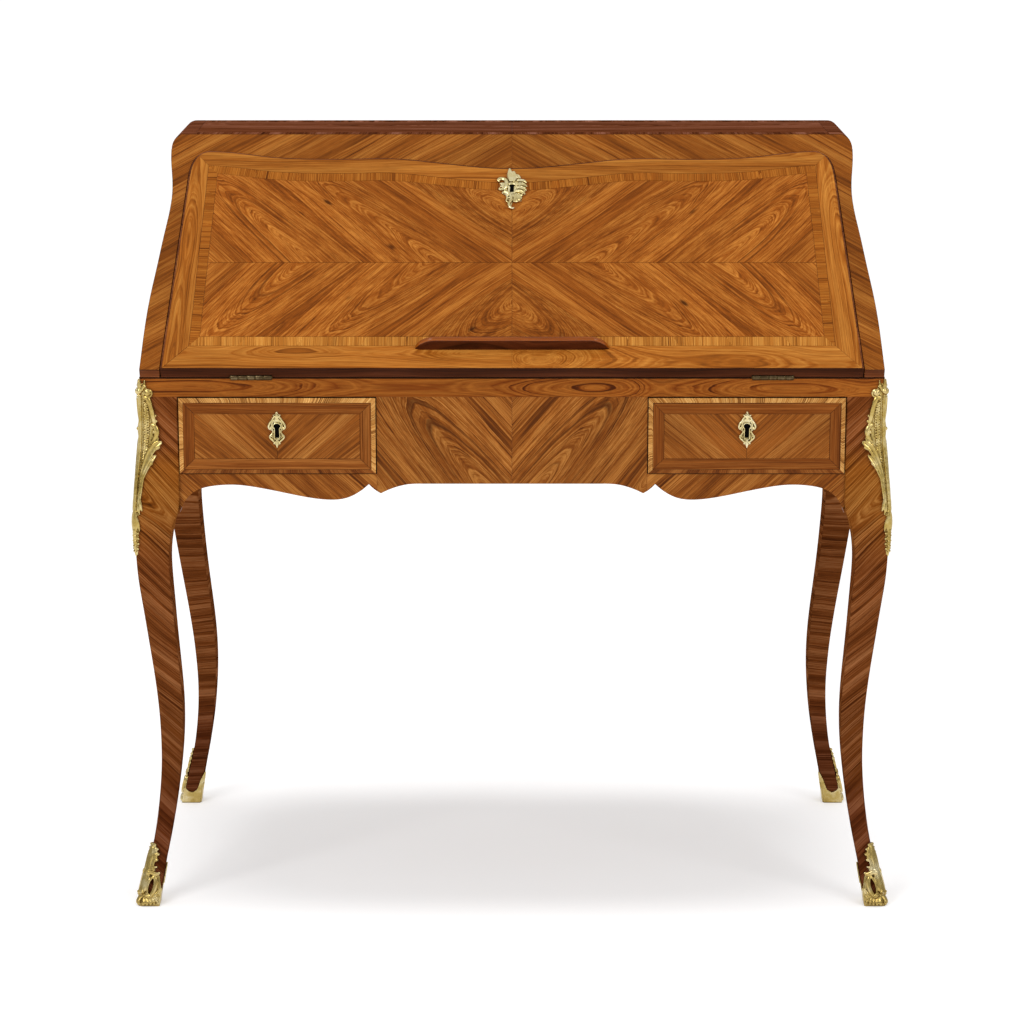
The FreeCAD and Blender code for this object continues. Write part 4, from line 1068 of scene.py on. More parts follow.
def drawer_front(sx):
    rnd = random.Random(21 + sx)
    m, core = Mesh(), Mesh()
    x0, x1, z0, z1 = DX0 + 1.0, DX1 - 1.0, DZ0 + 1.0, RAIL_Z0 - 1.0
    CH, CD, BW = 6.0, 3.4, 14.5
    yb = -D_PROUD + FRONT_T                            # back of the front, from the frieze face
    mk = lambda x, z, h: (x * sx, YF - h, z)
    top = D_PROUD - 0.4
    # solid core with a chamfered front
    a = [(x0, z0), (x1, z0), (x1, z1), (x0, z1)]
    b = [(x0 + CH, z0 + CH), (x1 - CH, z0 + CH), (x1 - CH, z1 - CH), (x0 + CH, z1 - CH)]
    r0 = [core.vert(mk(x, z, -yb)) for x, z in a]
    r1 = [core.vert(mk(x, z, top - CD)) for x, z in a]
    r2 = [core.vert(mk(x, z, top)) for x, z in b]
    fl = sx < 0

    def put(q, mat):
        core.face(q[::-1] if fl else q, mat)
    put(r0[::-1], 0)
    for i in range(4):
        j = (i + 1) % 4
        # the sides, seen only in the gap round the drawer, take the near-black ground: painted shade in the gap
        put([r0[i], r0[j], r1[j], r1[i]], 1)
        put([r1[i], r1[j], r2[j], r2[i]], 1)
    put(r2, 1)
    # crossbanded chamfer: short pieces laid on the slope of the edge

    def on_chamfer(p, q, pi, qi):
        """placing function for the slope between edge pq and inner line"""
        def M(t, w, h):
            # t along the edge, w 0 at the outer edge .. 1 at the inner one
            ox, oz = p[0] + (q[0] - p[0]) * t, p[1] + (q[1] - p[1]) * t
            ix, iz = pi[0] + (qi[0] - pi[0]) * t, pi[1] + (qi[1] - pi[1]) * t
            x, z = ox + (ix - ox) * w, oz + (iz - oz) * w
            return mk(x, z, top - CD + CD * w + h * 0.9)
        return M
    for i in range(4):
        j = (i + 1) % 4
        M = on_chamfer(a[i], a[j], b[i], b[j])
        Ltot = math.dist(a[i], a[j])
        cuts = [0.0]
        while cuts[-1] < 1.0:
            cuts.append(min(1.0, cuts[-1] + rnd.uniform(30, 70) / Ltot))
        if len(cuts) > 2 and cuts[-1] - cuts[-2] < 0.06:
            cuts.pop(-2)
        for t0, t1 in zip(cuts, cuts[1:]):
            v0, w0, u0 = rnd.choice((-1, 1)) * rnd.uniform(150, 420), rnd.uniform(10, 110), rnd.uniform(0, 500)

            def gr(t, w, v0=v0, w0=w0, u0=u0, L=Ltot):
                return ((w * 7 + u0) * 0.001, (t * L + v0) * 0.001, w0 * 0.001)
            # the lower chamfer takes the darker border wood and the others the pale crossbanding: painted shade on the
            # lower chamfer
            m.slab([(t0, 0.02), (t1, 0.02), (t1, 0.97), (t0, 0.97)], M, -0.1, 0.35, gr, 1 if i == 0 else 3, 5)
    # mitred border, grain along each side
    c = [(x0 + CH + BW, z0 + CH + BW), (x1 - CH - BW, z0 + CH + BW), (x1 - CH - BW, z1 - CH - BW), (x0 + CH + BW, z1 - CH - BW)]
    for i in range(4):
        j = (i + 1) % 4
        ang = 0.0 if i in (0, 2) else 90.0
        m.slab(inset(ccw([b[i], b[j], c[j], c[i]]), SEAM), mk, top - 0.2, D_PROUD, leaf(ang + rnd.uniform(-1, 1), b[i], v0=rnd.choice((-1, 1)) * rnd.uniform(50, 110), w0=rnd.uniform(5, 25), tilt=0.02, u0=rnd.uniform(0, 900)), 1, 5)
    # field in two halves, meeting in a V
    xc = (x0 + x1) / 2
    for hf in (1, -1):
        poly = [(xc, c[0][1]), (xc, c[2][1])] + ([(c[2][0], c[2][1]), (c[1][0], c[1][1])] if hf > 0 else [(c[3][0], c[3][1]), (c[0][0], c[0][1])])
        strips(m, inset(ccw(poly), SEAM), mk, top - 0.2, D_PROUD, 42.0, (xc, 640), rift(-150, 120, 58, random.Random(40 + sx)), 0, 5,
               None if hf > 0 else (lambda x, z: (2 * xc - x, z)), (0, 0, 0) if hf > 0 else (10, 2, 3))
    return m, core


for nm, sx in (("left", -1), ("right", 1)):
    dv, dc = drawer_front(sx)
    dv.obj("drawer_%s_front_veneers" % nm, [M_DRAWER, M_BORDER, M_CROSS, M_CROSSL, M_OAK, M_GROUND_AND_SHADE], "drawer_" + nm, slot="tulipwood_veneer")
    dc = dc.obj("drawer_%s_front_core" % nm, [M_OAK, M_GROUND_AND_SHADE], "drawer_" + nm, ("drawer_%s_front" % nm,), "tulipwood_veneer")
    xm, yk = DXC * sx, YF - D_PROUD + FRONT_T
    cut_world(dc, [(xm - 27, yk - 12, 632, xm + 27, yk + 1, 684), (xm - 11.3, yk - 9.3, 655.7, xm + 11.3, yk - 2.7, 697)])


# ------------------------------------------------------------------ sides
def front_y(z):
    """front edge of the upper side at height z"""
    return YF + (z - ZP) - 2 * FRAME_T * C if z > ZP + FRAME_T * C else YF - (z - ZP)


def side_panel(sx):
    m = Mesh()
    rnd = random.Random(31 + sx)
    zs = frange(ZP, 989.0, 6.0)
    # core: outer skin a little inside the veneer, flat inner face
    def ring(z):
        yf = front_y(z)
        xo = side_x(z) - 0.35
        return [(xo, yf), (xo, YB), (x_in(z), YB), (x_in(z), yf)]
    vs = [[m.vert((x * sx, y, z)) for x, y in ring(z)] for z in sorted(set(zs + [ZP + FRAME_T * C]))]
    fl = sx < 0

    def put(q, mat, smooth=False):
        m.face(q[::-1] if fl else q, mat, None, smooth)
    for a, b in zip(vs, vs[1:]):
        for k in range(4):
            j = (k + 1) % 4
            put([a[k], a[j], b[j], b[k]], {0: 2, 1: 4, 2: 3, 3: 4}[k], k in (0,))
    put(vs[0][::-1], 4); put(vs[-1], 4)
    # veneer on the outer face
    def M(y, z, h):
        e = 0.5
        dx = (side_x(min(z + e, 989)) - side_x(max(z - e, ZP))) / (min(z + e, 989) - max(z - e, ZP))
        l = math.hypot(1, dx)
        return ((side_x(z) + h / l) * sx, y, z - h * dx / l)
    BW = 24.0
    yb_in = YB - BW
    def yf_in(z):
        return front_y(z) + BW * 1.35

    def grid(y0f, y1f, z0, z1, gr, mat):
        rows = frange(z0, z1, 6.0)
        out = [(y0f(z), z) for z in rows]; inn = [(y1f(z), z) for z in rows]
        n = len(rows)
        turn = True
        A0 = [m.vert(M(y, z, -0.5)) for y, z in out]; A1 = [m.vert(M(y, z, 0.0)) for y, z in out]
        B0 = [m.vert(M(y, z, -0.5)) for y, z in inn]; B1 = [m.vert(M(y, z, 0.0)) for y, z in inn]
        ga = [gr(y, z) for y, z in out]; gb = [gr(y, z) for y, z in inn]

        def q(ix, g, mt, sm=False):
            if fl:
                ix = ix[::-1]; g = g[::-1]
            m.face(ix, mt, g, sm)
        for i in range(n - 1):
            j = i + 1
            q([A1[i], B1[i], B1[j], A1[j]], [ga[i], gb[i], gb[j], ga[j]], mat, True)
            q([A0[i], A0[j], B0[j], B0[i]], [ga[i], ga[j], gb[j], gb[i]], 2)
            q([A0[i], A1[i], A1[j], A0[j]], [ga[i]] * 2 + [ga[j]] * 2, 2)
            q([B0[i], B0[j], B1[j], B1[i]], [gb[i]] * 2 + [gb[j]] * 2, 2)
        q([A0[0], B0[0], B1[0], A1[0]], [ga[0], gb[0], gb[0], ga[0]], 2)
        q([A0[-1], A1[-1], B1[-1], B0[-1]], [ga[-1], ga[-1], gb[-1], gb[-1]], 2)
    s = SEAM
    z_lo, z_hi = ZP + 24.0, 989.0 - 0.5
    ym = lambda z: (yf_in(z) + yb_in) / 2
    # matched field in four leaves about the middle height
    zc = (z_lo + z_hi) / 2 - 30
    for q, (z0, z1) in enumerate(((z_lo, zc), (zc, z_hi))):
        f = leaf(40.0 if q else -40.0, (120, zc), v0=12, w0=30 + q, tilt=0.12, u0=80)
        grid(lambda z: max(yf_in(z), -400) + s, lambda z: yb_in - s, z0 + s, z1 - s, f, 0)
    # borders: front edge and back edge with grain along, foot with grain along
    grid(lambda z: front_y(z) + 0.3, lambda z: yf_in(z) - s, z_lo + s, z_hi - s, leaf(45.0, (0, 850), v0=6, w0=50, tilt=0.02, u0=0), 1)
    grid(lambda z: yb_in + s, lambda z: YB - 0.3, z_lo + s, z_hi - s, leaf(90.0, (YB, 850), v0=14, w0=70, tilt=0.02, u0=300), 1)
    grid(lambda z: front_y(z) + 0.3, lambda z: YB - 0.3, ZP + 0.3, z_lo - s, leaf(0.0, (0, ZP), v0=9, w0=44, tilt=0.03, u0=150), 1)
    return m


for nm, sx in (("left", -1), ("right", 1)):
    side_panel(sx).obj("side_panel_%s_veneered" % nm, [M_FIELD, M_BAND, M_GROUND_AND_SHADE, M_INT, M_EDGE], "carcase", ("side_panel_" + nm,), "tulipwood_veneer")

SAPRON = smooth_pts(SIDE_APRON, 4)


def side_frieze_veneers():
    m = Mesh()
    for sx in (1, -1):
        mk = lambda y, z, h, sx=sx: ((HW + h) * sx, y, z)
        for sy in (1, -1):
            poly = [(0.0, ZP - 0.2), (176.0, ZP - 0.2)] + SAPRON
            poly = [(y * sy, z) for y, z in poly]
            m.slab(inset(ccw(poly), SEAM), mk, H0, H1, leaf(45.0, (60, 650), v0=15, w0=40 + 2 * sx + sy, tilt=0.1, u0=900, mx=sy < 0), 0, 1)
        # upper ends of the front posts, beside the top rail
        poly = [(YF + 0.3, RAIL_Z0 + 0.2), (-176.2, RAIL_Z0 + 0.2), (-176.2, ZP - 0.2), (YF + 0.3, ZP - 0.2)]
        m.slab(ccw(poly), mk, H0, H1, leaf(0.0, (YF, 700), v0=4, w0=30, tilt=0.05, u0=420), 0, 1)
    return m


side_frieze_veneers().obj("side_frieze_veneers", [M_FRIEZE, M_GROUND_AND_SHADE], "carcase", slot="tulipwood_veneer")


# ------------------------------------------------------------------ top board
def top_board():
    m = Mesh()
    rnd = random.Random(3)
    flat = 462.0 - TOP_R
    arc = TOP_R * math.pi / 2

    def P(t, h):
        """place on the profile: t along the surface from the middle"""
        sgn = 1 if t >= 0 else -1
        t = abs(t)
        if t <= flat:
            return sgn * t, ZT + h
        a = min((t - flat) / TOP_R, math.pi / 2)
        rest = max(t - flat - arc, 0.0)
        return sgn * (flat + (TOP_R + h) * math.sin(a)), ZT - TOP_R + (TOP_R + h) * math.cos(a) - rest
    T1 = flat + arc + 2.0
    yfront = lambda z: YF + (z - ZP) - 2 * FRAME_T * C
    # core
    ts = [-T1] + [-flat - arc * k / 8 for k in range(8, 0, -1)] + [-flat, 0, flat] + [flat + arc * k / 8 for k in range(1, 9)] + [T1]
    rows = []
    for t in ts:
        x, z = P(t, -0.5)
        rows.append((x, z))
    top_f = [m.vert((x, yfront(z), z)) for x, z in rows]
    top_b = [m.vert((x, YB, z)) for x, z in rows]
    zb = 989.0
    bf = [m.vert((x, yfront(zb), zb)) for x in (462.0, -462.0)]
    bb = [m.vert((x, YB, zb)) for x in (462.0, -462.0)]
    for i in range(len(ts) - 1):
        m.face([top_f[i], top_f[i + 1], top_b[i + 1], top_b[i]], 2, None, True)
    m.face(top_f[::-1] + [bf[1], bf[0]], 3)
    m.face(top_b + [bb[0], bb[1]], 3)
    m.face([bf[0], bf[1], bb[1], bb[0]], 3)
    m.face([top_f[-1], bf[0], bb[0], top_b[-1]], 3)
    m.face([bf[1], top_f[0], top_b[0], bb[1]], 3)

    def M(t, y, h):
        x, z = P(t, h)
        yy = max(y, yfront(ZT) + 0.2) if y < yfront(ZT) + 1 else y
        return (x, yy, z)
    BW = 26.0
    y0, y1 = yfront(ZT) + 0.3, YB - 0.3
    te = T1 - 1.5
    cols = lambda a, b: frange(a, b, 6.0)

    def sheet(tl, ya, yb2, gr, mat):
        a = [(t, ya) for t in tl]; b = [(t, yb2) for t in tl]
        m.band(a, b, M, -0.6, 0.0, gr, mat, 2)
    # crossbanded border front and back, ends crossbanded round the rounding
    segs = []
    for ya, yb2 in ((y0, y0 + BW), (y1 - BW, y1)):
        t = -flat + 14
        while t < flat - 14:
            t2 = min(t + rnd.uniform(50, 95), flat - 14)
            if flat - 14 - t2 < 25:
                t2 = flat - 14
            sheet([t, t2], ya + SEAM, yb2 - SEAM, along(rnd.uniform(0, 800), rnd.uniform(150, 420), rnd.uniform(10, 110), 0, cross=True), 1)
            t = t2
    for sgn in (1, -1):
        y = y0
        while y < y1:
            y2 = min(y + rnd.uniform(45, 80), y1)
            if y1 - y2 < 25:
                y2 = y1
            tl = [sgn * t for t in [flat - 14 + SEAM] + [flat + arc * k / 8 for k in range(0, 9)] + [te]]
            vv, ww, uu = rnd.uniform(150, 420), rnd.uniform(10, 110), rnd.uniform(0, 800)
            a = [(t, y) for t in tl]; b = [(t, y2) for t in tl]

            def gr(L, t, W, vv=vv, ww=ww, uu=uu):
                return ((L + uu) * 0.001, (t * W + vv) * 0.001, ww * 0.001)
            m.band(a, b, M, -0.6, 0.0, gr, 1, 2)
            y = y2
    # field in two matched halves, grain along the length
    for sgn in (1, -1):
        poly = [(0, y0 + BW), (sgn * (flat - 14), y0 + BW), (sgn * (flat - 14), y1 - BW), (0, y1 - BW)]
        m.slab(inset(ccw(poly), SEAM), M, -0.6, 0.0, leaf(4.0, (100, 130), v0=-20, w0=20 + sgn, tilt=0.08, u0=350, mx=sgn < 0), 0, 2)
    return m


top_board().obj("top_board_veneered", [M_TOP_SHADED, M_TOP_SHADED, M_GROUND_AND_SHADE, M_EDGE], "carcase", ("top_board",), "tulipwood_veneer")

# ------------------------------------------------------------------ cast mounts
def catmull(pts, step):
    """smooth line through control points; every point is a tuple of numbers that are all blended"""
    P = [pts[0]] + list(pts) + [pts[-1]]
    out = []
    for i in range(1, len(P) - 2):
        p0, p1, p2, p3 = P[i - 1], P[i], P[i + 1], P[i + 2]
        n = max(2, int(math.ceil(math.dist(p1[:2], p2[:2]) / step)))
        for k in range(n):
            t = k / n
            out.append(tuple(0.5 * (2 * b + (c - a) * t + (2 * a - 5 * b + 4 * c - d) * t * t + (3 * b - a - 3 * c + d) * t ** 3)
                             for a, b, c, d in zip(p0, p1, p2, p3)))
    out.append(tuple(pts[-1]))
    return out


class Cast:
    """closed strokes on a curved ground, fused into one cast piece. S(a, z, h) places a point: a across, z up, h out of the ground"""

    def __init__(self, S, mirror=True):
        self.S, self.mirror = S, mirror
        self.kw = self.kh = 1.0
        self.bm = bmesh.new()

    def _p(self, a, z, h):
        return Vector(self.S(a, z, h)) * 0.001

    def stroke(self, pts, both=None, N=10, step=1.3):
        """pts: (a, z, half width, half height, height of the middle)"""
        for sg in ((1, -1) if (self.mirror if both is None else both) else (1,)):
            line = [(p[0] * sg, p[1], max(p[2] * self.kw, 0.25), max(p[3] * self.kh, 0.25), p[4] * self.kh) for p in catmull([tuple(map(float, q)) for q in pts], step)]
            ctr = [self._p(a, z, c) for a, z, w, h, c in line]
            rings = []
            n = len(line)
            for i, (a, z, w, h, c) in enumerate(line):
                t = (ctr[min(i + 1, n - 1)] - ctr[max(i - 1, 0)])
                if t.length < 1e-9:
                    continue
                t.normalize()
                nn = (self._p(a, z, c + 0.5) - ctr[i]).normalized()
                b = nn.cross(t)
                if b.length < 1e-6:
                    continue
                b.normalize()
                nn = t.cross(b).normalized()
                rings.append([self.bm.verts.new(ctr[i] + b * (w * 0.001 * math.cos(2 * math.pi * k / N)) + nn * (h * 0.001 * math.sin(2 * math.pi * k / N))) for k in range(N)])
            for r0, r1 in zip(rings, rings[1:]):
                for k in range(N):
                    self.bm.faces.new([r0[k], r0[(k + 1) % N], r1[(k + 1) % N], r1[k]])
            if len(rings) > 1:
                self.bm.faces.new(rings[0][::-1]); self.bm.faces.new(rings[-1])

    def leaf(self, pts, both=None):
        """a leaf: body with a raised rim on each side and a vein sunk between them"""
        self.stroke([(a, z, w, h * 0.72, c * 0.8) for a, z, w, h, c in pts], both)
        line = catmull([tuple(map(float, q)) for q in pts], 2.0)
        for sd in (1, -1):
            rim = []
            for i, (a, z, w, h, c) in enumerate(line):
                p, q = line[max(i - 1, 0)], line[min(i + 1, len(line) - 1)]
                tx, ty = q[0] - p[0], q[1] - p[1]
                l = math.hypot(tx, ty) or 1.0
                o = sd * w * 0.6
                rim.append((a - ty / l * o, z + tx / l * o, max(w * 0.3, 0.4), max(h * 0.42, 0.4), c + h * 0.34))
            self.stroke(rim[::2] + ([rim[-1]] if len(rim) % 2 == 0 else []), both)

    def bead(self, a, z, r, c, both=None, sq=1.0):
        for sg in ((1, -1) if (self.mirror if both is None else both) and abs(a) > 0.01 else (1,)):
            o = self._p(a * sg, z, c)
            U, V = 10, 6
            ex = (self._p(a * sg + 0.3, z, c) - o).normalized(); ez = (self._p(a * sg, z + 0.3, c) - o).normalized(); en = ex.cross(ez).normalized()
            top = self.bm.verts.new(o + en * (r * 0.001)); bot = self.bm.verts.new(o - en * (r * 0.001))
            rows = []
            for j in range(1, V):
                la = math.pi * j / V
                rows.append([self.bm.verts.new(o + en * (r * 0.001 * math.cos(la)) + (ex * math.cos(2 * math.pi * k / U) + ez * sq * math.sin(2 * math.pi * k / U)) * (r * 0.001 * math.sin(la))) for k in range(U)])
            for k in range(U):
                k2 = (k + 1) % U
                self.bm.faces.new([top, rows[0][k], rows[0][k2]])
                self.bm.faces.new([bot, rows[-1][k2], rows[-1][k]])
                for r0, r1 in zip(rows, rows[1:]):
                    self.bm.faces.new([r0[k], r1[k], r1[k2], r0[k2]])

    def beads(self, pts, r, c, gap, both=None):
        line = catmull([tuple(map(float, q)) for q in pts], 0.5)
        d = 0.0
        last = None
        for p in line:
            if last is not None:
                d += math.dist(p, last)
            if last is None or d >= gap:
                self.bead(p[0], p[1], r, c, both)
                d = 0.0
            last = p

    def cell(self, a0, a1, z00, z01, z10, z11, h0, h1):
        """block of ground between a0 and a1; z00..z01 at a0, z10..z11 at a1"""
        vs = [self.bm.verts.new(self._p(a, z, h)) for a, zz in ((a0, (z00, z01)), (a1, (z10, z11))) for z in zz for h in (h0, h1)]
        for f in ((0, 1, 3, 2), (4, 6, 7, 5), (0, 4, 5, 1), (2, 3, 7, 6), (0, 2, 6, 4), (1, 5, 7, 3)):
            self.bm.faces.new([vs[i] for i in f])

    def plate(self, outline, h0, h1):
        """flat backing over a closed outline in (a, z)"""
        lo = [self.bm.verts.new(self._p(a, z, h0)) for a, z in outline]
        hi = [self.bm.verts.new(self._p(a, z, h1)) for a, z in outline]
        self.bm.faces.new(hi); self.bm.faces.new(lo[::-1])
        n = len(outline)
        for i in range(n):
            j = (i + 1) % n
            self.bm.faces.new([lo[i], lo[j], hi[j], hi[i]])

    def obj(self, name, mat, body, replaces=(), slot=None, voxel=0.75, ratio=0.5, smooth=2):
        bmesh.ops.recalc_face_normals(self.bm, faces=self.bm.faces)
        me = bpy.data.meshes.new(name)
        self.bm.to_mesh(me); self.bm.free()
        o = bpy.data.objects.new(name, me)
        bpy.context.scene.collection.objects.link(o)
        md = o.modifiers.new("fuse", "REMESH")
        md.mode = "VOXEL"; md.voxel_size = voxel * 0.001; md.adaptivity = 0.0
        sm = o.modifiers.new("soft", "SMOOTH")
        sm.factor = 0.5; sm.iterations = smooth
        dc = o.modifiers.new("thin", "DECIMATE")
        dc.ratio = ratio
        dg = bpy.context.evaluated_depsgraph_get()
        new = bpy.data.meshes.new_from_object(o.evaluated_get(dg))
        o.modifiers.clear()
        o.data = new
        bpy.data.meshes.remove(me)
        new.name = name
        new.materials.clear()
        new.materials.append(mat)
        new.polygons.foreach_set("use_smooth", [True] * len(new.polygons))
        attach(o, body)
        if replaces:
            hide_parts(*replaces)
        return o


def corner(sx, sy):
    """ground of a leg corner: a = 0 on the outer arris, a > 0 along the face towards the middle of the front or back,
    a < 0 along the face on the end of the desk; past the leg width it goes round the next corner"""
    R = 4.0
    L0 = R * math.pi / 4

    def S(a, z, h):
        zz = min(max(z, 0.0), 693.0)
        o, i = leg_out(zz), leg_in(zz)
        yo = -YF + (o - HW)
        w = o - i - R + L0
        if abs(a) <= L0:
            th = math.pi / 4 + a / R
            x, y = o - R + (R + h) * math.cos(th), yo - R + (R + h) * math.sin(th)
        elif a > 0:
            if a <= w:
                x, y = o - R - (a - L0), yo + h
            else:
                x, y = i - h, yo - (a - w)
        else:
            if -a <= w:
                x, y = o + h, yo - R - (-a - L0)
            else:
                x, y = o - (-a - w), yo - (o - i) - h
        return ((x - (rear_shift(zz) if sy > 0 else 0.0)) * sx, y * sy, z)
    return S


def chute(sx):
    c = Cast(corner(sx, -1))
    edge = cubic([482, 495, 515, 530, 545, 565, 580, 600, 610, 625, 640, 655, 668, 680, 692, 704, 712],
                 [2.0, 3.2, 4.2, 4.4, 4.8, 5.6, 7.0, 11.0, 13.0, 15.0, 15.5, 16.0, 14.0, 11.5, 10.5, 8.0, 3.0])
    # thin ground behind the foliage
    zs = frange(484.0, 711.0, 2.6)
    for z0, z1 in zip(zs, zs[1:]):
        e0, e1 = edge(z0), edge(z1)
        n = max(2, int(max(e0, e1) / 3.0))
        for k in range(-n, n):
            t0, t1 = k / n, (k + 1) / n
            c.cell(t0 * e0, t1 * e0, z0 - 0.2, z1 + 0.2, z0 - 0.2, z1 + 0.2, -0.4, 0.9)
    # smooth reed on the arris
    c.stroke([(0, 696, 2.2, 2.2, 1.7), (0, 660, 2.6, 2.6, 1.9), (0, 620, 2.6, 2.6, 1.9), (0, 580, 2.4, 2.4, 1.8), (0, 545, 2.0, 2.1, 1.6), (0, 532, 1.6, 1.7, 1.4)], both=False)
    # strings of beads beside it, with a smooth reed between
    c.beads([(4.4, 689), (4.9, 662), (4.7, 632), (4.1, 600), (3.6, 584)], 1.25, 1.9, 3.1)
    c.beads([(8.0, 684), (9.6, 668), (10.0, 650), (9.0, 632), (7.4, 616)], 1.25, 1.8, 3.1)
    c.stroke([(6.0, 686, 0.9, 1.3, 1.2), (7.0, 664, 1.1, 1.5, 1.4), (7.0, 644, 1.1, 1.5, 1.4), (5.9, 618, 1.0, 1.4, 1.4), (4.9, 594, 0.9, 1.3, 1.4)])
    # rim of the upper leaf: one broad roll, lobes outside it
    c.stroke([(3.6, 693, 2.4, 2.3, 2.1), (9.6, 691, 3.5, 3.2, 2.8), (13.2, 681, 3.6, 3.3, 2.9), (15.6, 669, 3.4, 3.1, 2.7), (17.6, 658, 2.4, 2.3, 2.2), (18.4, 654, 1.2, 1.2, 1.8)])
    c.stroke([(12.4, 688, 0.7, 0.8, 5.2), (15.6, 679, 0.8, 0.9, 5.4), (17.6, 668, 0.7, 0.8, 4.8)])
    for a, z, r in ((17.0, 676.5, 2.2), (18.8, 668.5, 2.3), (20.0, 661.0, 2.1)):
        c.bead(a, z, r, 1.7)
    # rolled bud
    c.stroke([(13.0, 657, 1.8, 1.9, 2.0), (18.4, 654, 3.4, 3.0, 2.6), (21.0, 647, 3.7, 3.2, 3.0), (18.8, 639.5, 3.2, 2.7, 2.6), (14.4, 633.5, 1.5, 1.5, 1.8)])
    c.bead(17.6, 647.5, 3.0, 4.4)
    # large leaf turning out, with three tips
    c.leaf([(4.2, 586, 2.0, 1.9, 1.8), (7.6, 603, 3.5, 2.6, 2.4), (12.4, 618, 5.2, 3.0, 2.8), (19.0, 628.5, 5.2, 3.0, 3.2), (25.2, 633, 3.4, 2.3, 3.6), (28.0, 634, 1.1, 1.1, 3.6)])
    c.stroke([(15.6, 628, 2.6, 2.0, 2.4), (20.4, 636, 2.6, 2.0, 3.0), (23.2, 640, 1.1, 1.1, 3.0)])
    c.stroke([(17.0, 623, 2.6, 2.0, 2.4), (23.0, 626, 2.4, 1.9, 3.0), (26.0, 627.4, 1.0, 1.0, 3.0)])
    # second leaf
    c.leaf([(4.6, 577, 1.9, 1.8, 1.7), (8.0, 591, 2.8, 2.3, 2.3), (12.4, 603, 3.5, 2.7, 2.7), (17.8, 612.5, 3.0, 2.2, 3.1), (21.4, 616.5, 1.0, 1.0, 3.1)])
    c.stroke([(10.6, 599, 2.0, 1.7, 2.1), (15.6, 604, 1.9, 1.5, 2.5), (18.4, 606, 0.9, 0.9, 2.5)])
    # fluted stem
    c.stroke([(8.2, 598, 1.7, 2.0, 1.9), (7.0, 580, 1.7, 2.0, 1.9), (5.8, 562, 1.6, 1.8, 1.7), (4.8, 548, 1.2, 1.4, 1.5)])
    c.stroke([(4.4, 590, 1.2, 1.7, 1.7), (4.0, 574, 1.2, 1.7, 1.7), (3.3, 556, 1.1, 1.5, 1.6), (2.8, 542, 0.9, 1.2, 1.4)])
    c.stroke([(4.4, 564, 1.3, 1.5, 1.6), (6.2, 554, 2.2, 1.9, 1.9), (8.0, 546.5, 1.8, 1.6, 2.1), (9.2, 542.5, 0.7, 0.7, 2.1)])
    c.stroke([(3.0, 554, 1.2, 1.4, 1.6), (4.6, 545, 1.9, 1.7, 1.9), (6.0, 538.0, 0.8, 0.8, 1.9)])
    # husks of the tail
    c.leaf([(0, 543, 2.2, 1.8, 1.7), (0, 534, 4.4, 2.6, 2.2), (0, 524, 4.8, 2.7, 2.3), (0, 515, 2.8, 2.0, 1.9)], both=False)
    c.stroke([(2.2, 536, 1.6, 1.6, 1.7), (4.2, 527, 2.0, 1.8, 1.8), (5.2, 519, 1.4, 1.3, 1.7), (5.4, 515.5, 0.7, 0.7, 1.7)])
    c.stroke([(0, 518, 2.8, 2.2, 1.8), (0, 508, 3.2, 2.2, 1.8), (0, 496, 2.6, 2.0, 1.6), (0, 486, 1.8, 1.5, 1.3), (0, 481.8, 0.8, 0.8, 1.1)], both=False)
    for z, a in ((513, 3.5), (506, 3.8), (499, 3.4), (492, 2.7)):
        c.bead(a, z, 2.1, 1.6)
        c.bead(a * 0.3, z - 3.0, 1.5, 3.0)
    # scroll heads and the sprig above them
    c.bead(10.0, 699.0, 5.0, 2.6)
    c.bead(0.0, 701.0, 4.2, 2.0, both=False)
    sp = []
    for k in range(0, 11):
        th = math.radians(-70 + k * 34)
        rr = 5.9 - 0.3 * k
        sp.append((10.0 + rr * math.cos(th), 699.0 + rr * math.sin(th), 1.2, 1.3, 2.6 + 0.28 * k))
    c.stroke(sp)
    c.stroke([(0, 702, 3.0, 2.4, 2.2), (0.2, 709, 2.6, 2.2, 2.4), (0.6, 714, 1.6, 1.5, 2.7), (0.8, 718, 0.7, 0.7, 2.9)], both=False)
    c.stroke([(2.4, 702, 1.7, 1.7, 1.8), (4.8, 708, 2.2, 1.9, 2.2), (5.8, 713, 1.2, 1.2, 2.4), (5.8, 716, 0.6, 0.6, 2.4)])
    c.bead(6.2, 707.5, 2.3, 2.6)
    return c


for nm, sx in (("left", -1), ("right", 1)):
    chute(sx).obj("corner_mount_%s_cast" % nm, M_GILT, "carcase", ("corner_mount_" + nm,), "gilt_bronze", voxel=0.6, ratio=0.5, smooth=3)


